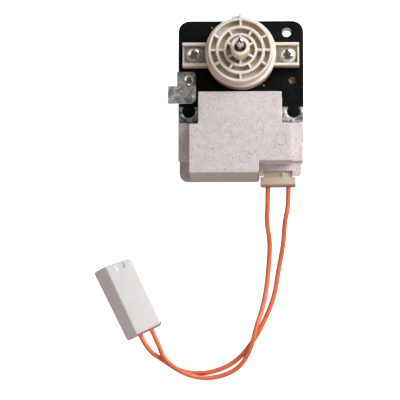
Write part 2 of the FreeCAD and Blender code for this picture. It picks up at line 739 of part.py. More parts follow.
def block_outline():
    return [
        (BLOCK_RIGHT_X, BLOCK_TOP_Y, BLOCK_EDGE_R),
        (BLOCK_RIGHT_X, BLOCK_SHOULDER_Y, BLOCK_EDGE_R),
        (BLOCK_WIDE_RIGHT, BLOCK_SHOULDER_Y, BLOCK_CORNER_R),
        (BLOCK_WIDE_RIGHT, NOTCH_Y, BLOCK_EDGE_R),
        (NOTCH_X, NOTCH_Y, BLOCK_EDGE_R),
        (NOTCH_X, BLOCK_END_Y, BLOCK_CORNER_R),
        (BLOCK_WIDE_LEFT, BLOCK_END_Y, BLOCK_EDGE_R),
        (BLOCK_WIDE_LEFT, BLOCK_SHOULDER_Y, BLOCK_CORNER_R),
        (BLOCK_LEFT_X, BLOCK_SHOULDER_Y, BLOCK_EDGE_R),
        (BLOCK_LEFT_X, BLOCK_TOP_Y, BLOCK_EDGE_R),
    ]


def housing_block():
    body = plate(block_outline(), 0, BLOCK_H)
    top_edges = [e for e in body.Edges if abs(e.CenterOfMass.z - BLOCK_H) < 1e-6]
    return body.makeChamfer(BLOCK_EDGE_R / 2, top_edges)


def housing_wings():
    """Ears of the moulding that hold both faces of the yoke's corners."""
    z0 = STACK_BACK_Z - WING_T
    z1 = STACK_FRONT_Z + WING_T
    corners = [
        (WING_RIGHT, WING_TOP_Y, BLOCK_EDGE_R),
        (WING_RIGHT, WING_END_Y, BLOCK_EDGE_R),
        (WING_LEFT, WING_END_Y, BLOCK_EDGE_R),
        (WING_LEFT, WING_TOP_Y, BLOCK_EDGE_R),
    ]
    return plate(corners, z0, z1)


def housing_base():
    """Low foot at the back, which is longer on the left."""
    corners = [
        (WING_RIGHT, WING_TOP_Y, BLOCK_EDGE_R),
        (WING_RIGHT, WING_END_Y, BASE_CORNER_R),
        (0, WING_END_Y, 0),
        (0, BLOCK_END_Y, 0),
        (BASE_LEFT, BLOCK_END_Y, BASE_CORNER_R),
        (BASE_LEFT, WING_TOP_Y, BLOCK_EDGE_R),
    ]
    return plate(corners, 0, BASE_T)


def header_shell():
    """Shroud of the pin header, with two thin lugs beside the socket."""
    half_z = SHROUD_H / 2 + HEADER_WALL
    x0 = CONNECTOR_X - HEADER_HALF_W
    z1 = STACK_FRONT_Z
    shell = box(x0, LUG_OUTER_X, HEADER_EDGE_Y, WING_END_Y, LEAD_Z - half_z, z1)
    half_shroud = SHROUD_W / 2 + FIT_GAP
    left_lug = box(x0, CONNECTOR_X - half_shroud, LUG_END_Y, HEADER_EDGE_Y, z1 - LUG_T, z1)
    right = [
        (CONNECTOR_X + half_shroud, HEADER_EDGE_Y + 1, 0),
        (CONNECTOR_X + half_shroud, LUG_END_Y, 0),
        (LUG_OUTER_X, LUG_END_Y, BLOCK_CORNER_R),
        (LUG_OUTER_X, HEADER_EDGE_Y + 1, 0),
    ]
    return joined([shell, left_lug, plate(right, z1 - LUG_T, z1)])


def yoke_room():
    """Space for the yoke's bar and corners inside the moulding."""
    gap = FIT_GAP
    z0 = STACK_BACK_Z - gap
    z1 = STACK_FRONT_Z + gap
    reach = STACK_HALF_W + gap
    body = box(-reach, reach, YOKE_END_Y - gap, YOKE_WINDOW_Y + gap, z0, z1)
    for side in (-1, 1):
        x0, x1 = sorted((side * (LEG_INNER_X - gap), side * reach))
        body = body.fuse(box(x0, x1, YOKE_END_Y, -LEG_REACH, z0, z1))
    return body


def terminal_pins():
    pins = []
    for x in LEAD_XS:
        start = V(x, HEADER_DEPTH_Y + PIN_ROOT, LEAD_Z)
        pins.append(rod(PIN_D / 2, start, V(x, HEADER_DEPTH_Y - PIN_OUT, LEAD_Z)))
    return Part.makeCompound(pins)


def coil_housing():
    body = joined([housing_block(), housing_wings(), housing_base(), header_shell()])
    room = around_bar(BOBBIN_HALF_L + FIT_GAP, BOBBIN_HALF_H + FIT_GAP, BOBBIN_HALF_D + FIT_GAP)
    body = body.cut(room).cut(yoke_room())
    half_w = SHROUD_W / 2 + FIT_GAP
    half_h = SHROUD_H / 2 + FIT_GAP
    socket = box(CONNECTOR_X - half_w, CONNECTOR_X + half_w, HEADER_EDGE_Y, HEADER_DEPTH_Y,
                 LEAD_Z - half_h, LEAD_Z + half_h)
    return body.cut(socket).cut(terminal_pins())


# Connector, leads and plug

def connector_housing():
    shroud_y = HEADER_DEPTH_Y - FIT_GAP
    body_y = LUG_END_Y - SHELL_GAP
    half_w, half_h = SHROUD_W / 2, SHROUD_H / 2
    shroud = box(CONNECTOR_X - half_w, CONNECTOR_X + half_w, body_y, shroud_y,
                 LEAD_Z - half_h, LEAD_Z + half_h)
    half_w, half_h = BODY_W / 2, BODY_H / 2
    block = box(CONNECTOR_X - half_w, CONNECTOR_X + half_w, BODY_END_Y, body_y,
                LEAD_Z - half_h, LEAD_Z + half_h)
    edges = [e for e in block.Edges if abs(e.Length - (body_y - BODY_END_Y)) < 1e-6]
    block = block.makeFillet(0.5, edges)
    rib = box(KEY_RIB_X - KEY_RIB_W / 2, KEY_RIB_X + KEY_RIB_W / 2, BODY_END_Y + 2,
              HEADER_EDGE_Y - SHELL_GAP, LEAD_Z, LEAD_Z + half_h + KEY_RIB_H)
    body = joined([shroud, block, rib])
    half = CONTACT_W / 2 + FIT_GAP
    for x in LEAD_XS:
        cell = box(x - half, x + half, shroud_y - CONTACT_L - FIT_GAP, shroud_y,
                   LEAD_Z - half, LEAD_Z + half)
        body = body.cut(cell)
    return body


def connector_contacts():
    """Crimp terminals that grip the header's pins."""
    y1 = HEADER_DEPTH_Y - FIT_GAP
    half = CONTACT_W / 2
    contacts = []
    for x in LEAD_XS:
        body = box(x - half, x + half, y1 - CONTACT_L, y1, LEAD_Z - half, LEAD_Z + half)
        bore = rod(PIN_D / 2 + CONTACT_BORE_GAP, V(x, y1, LEAD_Z), V(x, y1 - PIN_OUT, LEAD_Z))
        contacts.append(body.cut(bore))
    return Part.makeCompound(contacts)


def lead(route, name):
    """Round wire along straight runs joined by tangent arcs."""
    points = [V(*point) for point in route]
    edges = []
    radii = []
    start = points[0]
    for i in range(1, len(points) - 1):
        back = points[i - 1] - points[i]
        ahead = points[i + 1] - points[i]
        reach = LEAD_ARC_SHARE * min(back.Length, ahead.Length)
        back.normalize()
        ahead.normalize()
        half = back.getAngle(ahead) / 2
        radius = reach * math.tan(half)
        inward = (back + ahead).normalize()
        middle = points[i] + inward * (radius / math.sin(half) - radius)
        enter = points[i] + back * reach
        leave = points[i] + ahead * reach
        edges.append(Part.LineSegment(start, enter).toShape())
        edges.append(Part.Arc(enter, middle, leave).toShape())
        radii.append(radius)
        start = leave
    edges.append(Part.LineSegment(start, points[-1]).toShape())
    path = Part.Wire(edges)
    section = Part.Wire(Part.Circle(points[0], points[1] - points[0], LEAD_D / 2).toShape())
    tube = path.makePipeShell([section], True, True)
    expected = math.pi * LEAD_D ** 2 / 4 * path.Length
    print(name, "length", round(path.Length, 1), "volume ratio", round(tube.Volume / expected, 4),
          "radii", [round(r, 1) for r in radii])
    return tube


def along_plug(shape):
    """Move a shape from the plug's own axes (X across, Y along) to where the plug lies."""
    turn = PLUG_TURN - 90
    moved = shape.copy()
    moved.rotate(V(0, 0, 0), Z_AXIS, turn)
    moved.translate(V(PLUG_ENTRY[0], PLUG_ENTRY[1], 0))
    return moved


def plug_section():
    corners = [
        (PLUG_RIGHT, 0, PLUG_EDGE_R),
        (PLUG_RIGHT, PLUG_H, PLUG_EDGE_R),
        (PLUG_TOP_LEFT, PLUG_H, 2 * PLUG_EDGE_R),
        (PLUG_FOOT_LEFT, PLUG_FOOT_H, 2 * PLUG_EDGE_R),
        (PLUG_FOOT_LEFT, 0, PLUG_EDGE_R),
    ]
    face = Part.Face(outline(corners))
    face.rotate(V(0, 0, 0), V(1, 0, 0), 90)
    return face


def plug_bores(radius, y0, y1):
    half = PLUG_LEAD_PITCH / 2
    return [rod(radius, V(x, y0, PLUG_LEAD_Z), V(x, y1, PLUG_LEAD_Z)) for x in (-half, half)]


def plug_plan():
    return plate([
        (PLUG_RIGHT, 0, PLUG_NEAR_R),
        (PLUG_RIGHT, PLUG_L - PLUG_END_SKEW, PLUG_FAR_R),
        (PLUG_FOOT_LEFT, PLUG_L, PLUG_EDGE_R),
        (PLUG_FOOT_LEFT + PLUG_FOOT_TAPER, 0, PLUG_EDGE_R),
    ], 0, PLUG_H)


def plug_housing():
    body = plug_section().extrude(V(0, PLUG_L, 0)).common(plug_plan())
    start = PLUG_L - PLUG_CONTACT_SET - PLUG_CONTACT_L - FIT_GAP
    for bore in plug_bores(PLUG_CONTACT_D / 2 + FIT_GAP, start, PLUG_L):
        body = body.cut(bore)
    half_w, half_l = PLUG_MARK_W / 2, PLUG_MARK_L / 2
    mark = box(PLUG_MARK_X - half_l, PLUG_MARK_X + half_l, PLUG_MARK_Y - half_w,
               PLUG_MARK_Y + half_w, PLUG_H - PLUG_MARK_DEPTH, PLUG_H)
    return along_plug(body.cut(mark))


def plug_contacts():
    """Socket contacts behind the plug's mating face."""
    end = PLUG_L - PLUG_CONTACT_SET
    outer = plug_bores(PLUG_CONTACT_D / 2, end - PLUG_CONTACT_L, end)
    inner = plug_bores(PLUG_CONTACT_BORE / 2, end - PLUG_CONTACT_L + 2, end)
    return along_plug(Part.makeCompound([tube.cut(hole) for tube, hole in zip(outer, inner)]))


def all_parts():
    return {
        "stator_stack": stator_stack(),
        "yoke_stack": yoke_stack(),
        "shading_ring_upper": shading_ring(RING_START),
        "shading_ring_lower": shading_ring(RING_START + 180),
        "front_bracket": front_bracket(),
        "rear_bracket": rear_bracket(),
        "front_bearing": front_bearing(),
        "rear_bearing": flipped(front_bearing()),
        "front_wick": front_wick(),
        "rear_wick": flipped(front_wick()),
        "front_retainer": front_retainer(),
        "rear_retainer": flipped(front_retainer()),
        "shaft": shaft(),
        "rotor_core": rotor_core(),
        "rotor_cage": rotor_cage(),
        "front_spacer": front_spacer(),
        "rear_spacer": flipped(front_spacer()),
        "thrust_washers": thrust_washers(),
        "bracket_screws": bracket_screws(),
        "bracket_nuts": bracket_nuts(),
        "ground_tab": ground_tab(),
        "ground_screw": ground_screw(),
        "stack_rivet": stack_rivet(),
        "bobbin": bobbin(),
        "coil_winding": coil_winding(),
        "coil_housing": coil_housing(),
        "terminal_pins": terminal_pins(),
        "connector_housing": connector_housing(),
        "connector_contacts": connector_contacts(),
        "lead_wire_a": lead(ROUTE_A, "lead_wire_a"),
        "lead_wire_b": lead(ROUTE_B, "lead_wire_b"),
        "plug_housing": plug_housing(),
        "plug_contacts": plug_contacts(),
    }


os.makedirs("parts", exist_ok=True)
for node, shape in all_parts().items():
    shape.exportStep("parts/" + node + ".step")
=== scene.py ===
import json
import math

import bmesh
import bpy
from mathutils import Matrix, Vector


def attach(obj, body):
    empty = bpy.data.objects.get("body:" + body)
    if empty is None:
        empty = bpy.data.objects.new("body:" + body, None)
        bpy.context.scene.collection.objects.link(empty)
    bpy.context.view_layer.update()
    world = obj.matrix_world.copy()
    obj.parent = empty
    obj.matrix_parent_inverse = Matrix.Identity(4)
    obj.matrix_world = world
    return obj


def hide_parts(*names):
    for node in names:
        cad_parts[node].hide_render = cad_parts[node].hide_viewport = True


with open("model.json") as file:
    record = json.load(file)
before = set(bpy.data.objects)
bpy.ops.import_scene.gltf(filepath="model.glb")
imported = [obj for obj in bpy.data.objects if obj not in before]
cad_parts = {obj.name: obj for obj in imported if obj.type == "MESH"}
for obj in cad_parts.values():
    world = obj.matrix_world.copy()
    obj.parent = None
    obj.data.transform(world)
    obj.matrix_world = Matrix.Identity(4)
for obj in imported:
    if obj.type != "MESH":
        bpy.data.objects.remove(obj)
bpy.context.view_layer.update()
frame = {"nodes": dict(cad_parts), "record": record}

# Lengths below are millimetres unless a name says otherwise; MM turns them into metres.
MM = 0.001

# Edges that turn by more than this many degrees stay sharp
SMOOTH_DEGREES = 32
METAL_SMOOTH_DEGREES = 40

# Lamination stack and yoke
STACK_Z0 = 14.0
STACK_Z1 = 22.0
STACK_MID_Z = 18.0
STACK_HALF_W = 30.25
STACK_TOP_Y = 17.55
STACK_CORNER_R = 5.4
STACK_WAIST_Y = -18.9
LEG_LEFT_X, LEG_RIGHT_X = -20.45, 19.8
LEG_END_Y = -24.65
KEY_X = 25.3
KEY_Y = -26.75
KEY_R = 3.1
KEY_NECK_HALF = 2.5
KEY_GAP = 0.09
BORE_R = 12.8
MOUNT_HOLE = (22.2, 11.9, 2.2)
SIDE_HOLE = (24.9, -11.6, 1.8)
SCREW_X = 22.5
SCREW_HOLE_R = 1.85
YOKE_WINDOW_Y = -29.6
YOKE_END_Y = -41.6
SHEET_T = 0.5
SHEET_GROOVE, SHEET_GROOVE_HALF = 0.035, 0.06
STAKES = ((-14.0, 14.4), (11.2, -14.1))     # dents pressed into the top sheet
STAKE_SPOT_R = 0.42

# Front bracket
ARM_HALF_L = 28.2
ARM_HALF_W = 5.7
ARM_FLOOR_Z = 24.0
ARM_RIB_T = 1.4
ARM_RIB_Z = 29.6
ARM_LIP_T = 0.9
ARM_LIP_Z = 26.6
BOSS_HOLE_R = 1.85
SCREW_BOSS_R = 4.1
SCREW_SEAT_Z = 27.0
FLANGE_R = 17.1
SKIRT_R, SKIRT_Z = 16.03, 25.73
FLANGE_TOP_Z = 35.0
POCKET_FLOOR_Z = 36.5
DISC_TOP_Z = 42.0
RIM_OUT, RIM_IN = 15.45, 14.25
MIDDLE_OUT, MIDDLE_IN = 11.8, 10.4
INNER_OUT, INNER_IN = 8.05, 6.9
HUB_R = 4.55
HUB_TOP_Z = 52.0
HUB_BORE_R = 2.85
HUB_BORE_FLOOR_Z = 37.0
SHAFT_HOLE_R = 2.1
SPOKE_T, SPOKE_EDGE_R = 1.1, 0.3
OUTER_SPOKES = (0, 30, 90, 150, 180, 210, 270, 330)
MIDDLE_SPOKES = (0, 60, 120, 180, 240, 300)
INNER_SPOKES = (30, 90, 150, 210, 270, 330)
ROOM_R = 15.9
SEAT_TUBE_R = 8.0
SEAT_POCKET_R = 6.5
SEAT_END_Z = 26.75
BALL_R, BALL_Z = 4.65, 30.0
LOCATING_RIB_T, LOCATING_RIB_R, LOCATING_RIB_Z = 1.4, 18.8, 36.5
BUMP_W, BUMP_OUT = 3.4, 0.5

# Shaft
SHAFT_R = 3.175 / 2
SHAFT_Z0, SHAFT_Z1 = 1.5, 67.0
JOURNAL_R, SHOULDER_Z = 1.8, 51.8
SHAFT_TIP_R = 1.1

# Fasteners and ground tab
SCREW_SHANK_R = 1.7
SCREW_HEAD_R, SCREW_HEAD_H, SCREW_END_Z = 3.4, 2.4, 6.2
SCREW_TURNS = (32, 12)      # degrees that the crosses of the left and right screw are turned
GROUND_HEAD_R, GROUND_HEAD_H, GROUND_END_Z, GROUND_TURN = 2.65, 1.7, 15.0, 48
CROSS_LONG, CROSS_SHORT = 0.62, 0.2     # half length and half width, as shares of the head's radius
CROSS_DEPTH = 1.2
TAB_Z1 = 22.8
TAB_RIGHT_X, TAB_STEM_X, TAB_BLADE_X = -21.75, -31.0, -35.3
TAB_TOP_Y, TAB_STEP_Y, TAB_END_Y = -7.4, -14.4, -23.0
TAB_CHAMFER = 1.6

# Coil housing
BLOCK_TOP_Z = 36.0
BLOCK_LEFT, BLOCK_RIGHT = -20.4, 19.7
BLOCK_WIDE_LEFT, BLOCK_WIDE_RIGHT = -24.8, 24.6
BLOCK_TOP_Y = -19.2
BLOCK_SHOULDER_Y = -34.8
BLOCK_END_Y = -58.5
NOTCH_X, NOTCH_Y = 8.7, -52.7
WING_LEFT, WING_RIGHT = -30.25, 29.85
WING_TOP_Y, WING_END_Y = -32.7, -51.4
BASE_LEFT = -30.3
WING_Z0, WING_Z1 = 12.0, 24.0
BASE_TOP_Z = 3.0
HEADER_X0, HEADER_X1 = 8.65, 29.15
HEADER_Z0 = 8.0
HEADER_EDGE_Y = -55.9
SOCKET_FLOOR_Y = -53.4
LUG_END_Y = -58.25
LUG_T = 1.7
SOCKET_HALF_W = 6.8
CONNECTOR_X = 17.85
LEAD_Z = 15.0
EJECTORS = ((2.0, -51.0, 2.75), (19.0, -42.4, 2.75))   # rings left by the mould's ejector pins
EJECTOR_FLOOR_HALF, EJECTOR_MOUTH_HALF, EJECTOR_DEPTH = 0.15, 0.3, 0.2
UNDERCUT_REACH, UNDERCUT_LIP = 3.2, 0.9
HOUSING_GAP = 0.05
BAR_Y = -35.6           # middle of the yoke's bar, which runs through the winding
COIL_ROOM_X, COIL_ROOM_Y, COIL_ROOM_Z = 18.05, 14.75, 15.65

# Connector
SHROUD_HALF_W, SHROUD_HALF_H = 6.75, 5.0
BODY_HALF_W, BODY_HALF_H = 8.55, 6.0
BODY_Y0, BODY_Y1 = -62.4, -58.55
NECK_SET = 0.8
KEY_RIB_X, KEY_RIB_HALF = 20.35, 0.7
PIN_PITCH = 10.0
CELL_HALF, CELL_L = 1.25, 7.1

# Plug
PLUG_L, PLUG_H = 37.0, 12.5
PLUG_END_SKEW = 1.8
PLUG_TURN = 115.2
PLUG_ENTRY = (-46.65, -132.2)
PLUG_RIGHT, PLUG_TOP_LEFT, PLUG_FOOT_LEFT = 9.05, -4.4, -10.6
PLUG_FOOT_TAPER = 0.7
PLUG_MARK = (2.3, 33.4, 2.2, 1.5)   # across, along, half length, half width
PLUG_FOOT_H = 3.6
PLUG_MARK_DEPTH = 0.5
PLUG_LEAD_PITCH = 6.0
PLUG_BORE_R, PLUG_BORE_L = 1.45, 16.5
LEAD_PLUG_Z = 6.25

# Leads: the same points as the CAD routes, in metres
LEAD_R = 0.00115
ROUTE_A = [
    (0.01285, -0.0624, 0.0150), (0.01285, -0.0714, 0.0150), (0.0121, -0.0794, 0.0108),
    (0.0139, -0.0886, 0.0040), (0.0132, -0.0994, LEAD_R), (0.0121, -0.1106, LEAD_R),
    (0.0101, -0.1209, 0.0028), (0.0071, -0.1295, 0.0065), (0.0049, -0.1395, 0.0065),
    (-0.0006, -0.1495, 0.0032), (-0.0107, -0.1541, LEAD_R), (-0.0208, -0.1547, 0.0028),
    (-0.0297, -0.1519, 0.0065), (-0.0376, -0.1459, 0.0065), (-0.040529, -0.138161, 0.00625),
    (-0.043936, -0.130923, 0.00625),
]
ROUTE_B = [
    (0.02285, -0.0624, 0.0150), (0.02285, -0.0714, 0.0150), (0.0209, -0.0796, 0.0106),
    (0.0203, -0.0897, 0.0036), (0.0179, -0.1018, LEAD_R), (0.0160, -0.1146, LEAD_R),
    (0.0115, -0.1257, LEAD_R), (0.0051, -0.1376, LEAD_R), (-0.0027, -0.1464, LEAD_R),
    (-0.0122, -0.1511, LEAD_R), (-0.0218, -0.1525, LEAD_R), (-0.0308, -0.1508, LEAD_R),
    (-0.0377, -0.1463, 0.0032), (-0.045745, -0.141168, 0.00625), (-0.049364, -0.133477, 0.00625),
]


# Camera

CAMERA_TILT = 7.2        # degrees towards -Y
CAMERA_SWING = 1.5       # degrees towards +X
CAMERA_DISTANCE = 1.5    # metres, to the front face of the stack
FOCAL_PX = 3093.0        # focal length in pixels of the 400 pixel frame
FRAME_PX = 400.0
AXIS_PX = (240.9, 56.75)  # where the shaft axis meets the stack's front face in the photograph


def add_camera():
    """Camera at the photograph's angle, moved sideways so that the shaft axis lands on AXIS_PX."""
    tilt, swing = math.radians(CAMERA_TILT), math.radians(CAMERA_SWING)
    back = Vector((math.sin(swing), -math.sin(tilt) * math.cos(swing),
                   math.cos(tilt) * math.cos(swing))).normalized()
    right = Vector((0, 1, 0)).cross(back).normalized()
    up = back.cross(right)
    target = Vector((0, 0, STACK_Z1 * MM))
    side = (AXIS_PX[0] - FRAME_PX / 2) / FOCAL_PX * CAMERA_DISTANCE
    rise = (FRAME_PX / 2 - AXIS_PX[1]) / FOCAL_PX * CAMERA_DISTANCE
    data = bpy.data.cameras.new("camera")
    data.sensor_width = 36.0
    data.lens = FOCAL_PX / FRAME_PX * data.sensor_width
    data.clip_start, data.clip_end = 0.05, 10.0
    camera = bpy.data.objects.new("camera", data)
    camera.matrix_world = Matrix.Translation(
        target + back * CAMERA_DISTANCE - right * side - up * rise
    ) @ Matrix((right, up, back)).transposed().to_4x4()
    bpy.context.collection.objects.link(camera)
    bpy.context.scene.camera = camera


# Mesh building

def link_mesh(name, bm, body="stator"):
    bmesh.ops.recalc_face_normals(bm, faces=bm.faces)
    data = bpy.data.meshes.new(name)
    bm.to_mesh(data)
    bm.free()
    piece = bpy.data.objects.new(name, data)
    bpy.context.collection.objects.link(piece)
    if body:
        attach(piece, body)
    return piece


def smooth_by_angle(piece, degrees):
    """Smooth faces with sharp edges where the surface turns by more than the angle."""
    bm = bmesh.new()
    bm.from_mesh(piece.data)
    for face in bm.faces:
        face.smooth = True
    for edge in bm.edges:
        edge.smooth = not edge.is_manifold or edge.calc_face_angle(0) < math.radians(degrees)
    bm.to_mesh(piece.data)
    bm.free()


def circle(x, y, radius, count=48, hole=False):
    step = (-1 if hole else 1) * 2 * math.pi / count
    return [(x + radius * math.cos(i * step), y + radius * math.sin(i * step)) for i in range(count)]


def fillet(previous, here, following, radius, steps):
    """Points of the arc that rounds the corner at here, between its two neighbours."""
    corner = Vector(here)
    before = (Vector(previous) - corner).normalized()
    after = (Vector(following) - corner).normalized()
    half = before.angle(after) / 2
    centre = corner + (before + after).normalized() * (radius / math.sin(half))
    start = corner + before * (radius / math.tan(half)) - centre
    turn = start.angle_signed(corner + after * (radius / math.tan(half)) - centre)
    return [tuple(centre + Matrix.Rotation(-turn * k / steps, 2) @ start)
            for k in range(steps + 1)]


def rounded(corners, steps=6):
    """Points of a closed outline through (x, y, radius) corners, anticlockwise for a solid."""
    points = []
    for i, (x, y, radius) in enumerate(corners):
        if radius == 0:
            points.append((x, y))
            continue
        following = corners[(i + 1) % len(corners)]
        points += fillet(corners[i - 1][:2], (x, y), following[:2], radius, steps)
    return points


def inset_loop(loop, amount):
    """The loop moved towards the material, which lies on its left. The lower limit on the dot
    product keeps sharp corners from running far out."""
    moved = []
    count = len(loop)
    for i in range(count):
        here = Vector(loop[i])
        into = (here - Vector(loop[i - 1])).normalized()
        out = (Vector(loop[(i + 1) % count]) - here).normalized()
        left_in, left_out = Vector((-into.y, into.x)), Vector((-out.y, out.x))
        bisector = (left_in + left_out).normalized()
        moved.append(here + bisector * (amount / max(0.3, bisector.dot(left_in))))
    return moved


def slab(name, loops, z0, z1, edge=0.3, steps=3, levels=(), body="stator"):
    """Closed prism over a set of loops, with rounded rims. Holes run clockwise.
    levels holds extra (z, inset) pairs between the two rims."""
    profile = []
    for k in range(steps + 1):
        turn = math.pi / 2 * k / steps
        profile.append((z0 + edge * (1 - math.sin(turn)), edge * (1 - math.cos(turn))))
    profile.reverse()
    if edge == 0:
        profile = [(z0, 0.0)]
    top = [(z0 + z1 - z, inset) for z, inset in reversed(profile)]
    profile = profile + list(levels) + top
    bm = bmesh.new()
    ends = []
    for loop in loops:
        rings = []
        for z, inset in profile:
            shape = inset_loop(loop, inset) if inset else [Vector(p) for p in loop]
            rings.append([bm.verts.new((p.x * MM, p.y * MM, z * MM)) for p in shape])
        count = len(loop)
        for low, high in zip(rings, rings[1:]):
            for i in range(count):
                j = (i + 1) % count
                bm.faces.new((low[i], low[j], high[j], high[i]))
        ends.append((rings[0], rings[-1]))
    for which in (0, 1):
        edges = []
        for pair in ends:
            ring = pair[which]
            for i in range(len(ring)):
                edges.append(bm.edges.get((ring[i], ring[(i + 1) % len(ring)])))
        bmesh.ops.triangle_fill(bm, use_beauty=True, edges=edges)
    return link_mesh(name, bm, body)


def lathe(name, profile, x=0.0, y=0.0, count=64, body="stator"):
    """Closed solid turned about a line along Z; the profile holds (radius, z) pairs from the axis
    at the bottom to the axis at the top, or a closed loop for a ring."""
    bm = bmesh.new()
    rings = []
    for radius, z in profile:
        if radius == 0:
            rings.append([bm.verts.new((x * MM, y * MM, z * MM))])
            continue
        ring = []
        for i in range(count):
            angle = 2 * math.pi * i / count
            ring.append(bm.verts.new(((x + radius * math.cos(angle)) * MM,
                                      (y + radius * math.sin(angle)) * MM, z * MM)))
        rings.append(ring)
    pairs = list(zip(rings, rings[1:]))
    if profile[0][0] > 0:
        pairs.append((rings[-1], rings[0]))
    for low, high in pairs:
        for i in range(count):
            j = (i + 1) % count
            corners = [low[i % len(low)], low[j % len(low)], high[j % len(high)], high[i % len(high)]]
            face = []
            for vertex in corners:
                if vertex not in face:
                    face.append(vertex)
            bm.faces.new(face)
    return link_mesh(name, bm, body)


def round_profile(points, steps=4):
    """Open (radius, z) profile through (radius, z, rounding) points."""
    out = []
    for i, (r, z, rounding) in enumerate(points):
        if rounding == 0 or i in (0, len(points) - 1):
            out.append((r, z))
            continue
        out += fillet(points[i - 1][:2], (r, z), points[i + 1][:2], rounding, steps)
    return out


def carve(piece, other, operation):
    """Boolean of two closed meshes; the second one is used up."""
    modifier = piece.modifiers.new("carve", "BOOLEAN")
    modifier.operation = operation
    modifier.solver = "EXACT"
    modifier.object = other
    bpy.context.view_layer.update()
    result = bpy.data.meshes.new_from_object(
        piece.evaluated_get(bpy.context.evaluated_depsgraph_get()))
    piece.modifiers.clear()
    old = piece.data
    piece.data = result
    bpy.data.meshes.remove(old)
    bpy.data.objects.remove(other, do_unlink=True)
    return piece


def merged(pieces):
    body = pieces[0]
    for other in pieces[1:]:
        carve(body, other, "UNION")
    return body


def cut(piece, cutters):
    for cutter in cutters:
        carve(piece, cutter, "DIFFERENCE")
    return piece


def finish_piece(piece, slot, nodes, degrees=SMOOTH_DEGREES):
    """Smooth the piece, give it the material of its slot, and let it stand for the CAD nodes."""
    smooth_by_angle(piece, degrees)
    piece.data.materials.clear()
    piece.data.materials.append(MATERIALS[slot])
    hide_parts(*nodes)
    return piece


def bar(name, section, start, end):
    """Straight solid with a section of (across, z) points between two places in plan."""
    start, end = Vector(start), Vector(end)
    way = (end - start).normalized()
    bm = bmesh.new()
    rings = []
    for place in (start, end):
        rings.append([bm.verts.new(((place.x + way.y * u) * MM, (place.y - way.x * u) * MM, v * MM))
                      for u, v in section])
    count = len(section)
    for i in range(count):
        j = (i + 1) % count
        bm.faces.new((rings[0][i], rings[0][j], rings[1][j], rings[1][i]))
    bm.faces.new(rings[0])
    bm.faces.new(rings[1])
    return link_mesh(name, bm)


def soft_box(name, x0, x1, y0, y1, z0, z1, edge, corner=None):
    """Box with rounded rims and upright corners. The rims are a little smaller than the corners,
    so that the inset outline never closes up."""
    r = edge if corner is None else corner
    loop = rounded([(x0, y0, r), (x1, y0, r), (x1, y1, r), (x0, y1, r)], 4)
    return slab(name, [loop], z0, z1, edge * 0.98, 3)


def plain_box(x0, x1, y0, y1, z0, z1):
    return slab("cutter", [[(x0, y0), (x1, y0), (x1, y1), (x0, y1)]], z0, z1, 0)


# Materials: colours are linear RGB, and noise scales count waves to a metre

def set_stops(band, stops):
    """Give a colour ramp its (position, colour) stops."""
    while len(band.elements) < len(stops):
        band.elements.new(0.5)
    for element, (position, colour) in zip(band.elements, stops):
        element.position = position
        element.color = (*colour, 1)


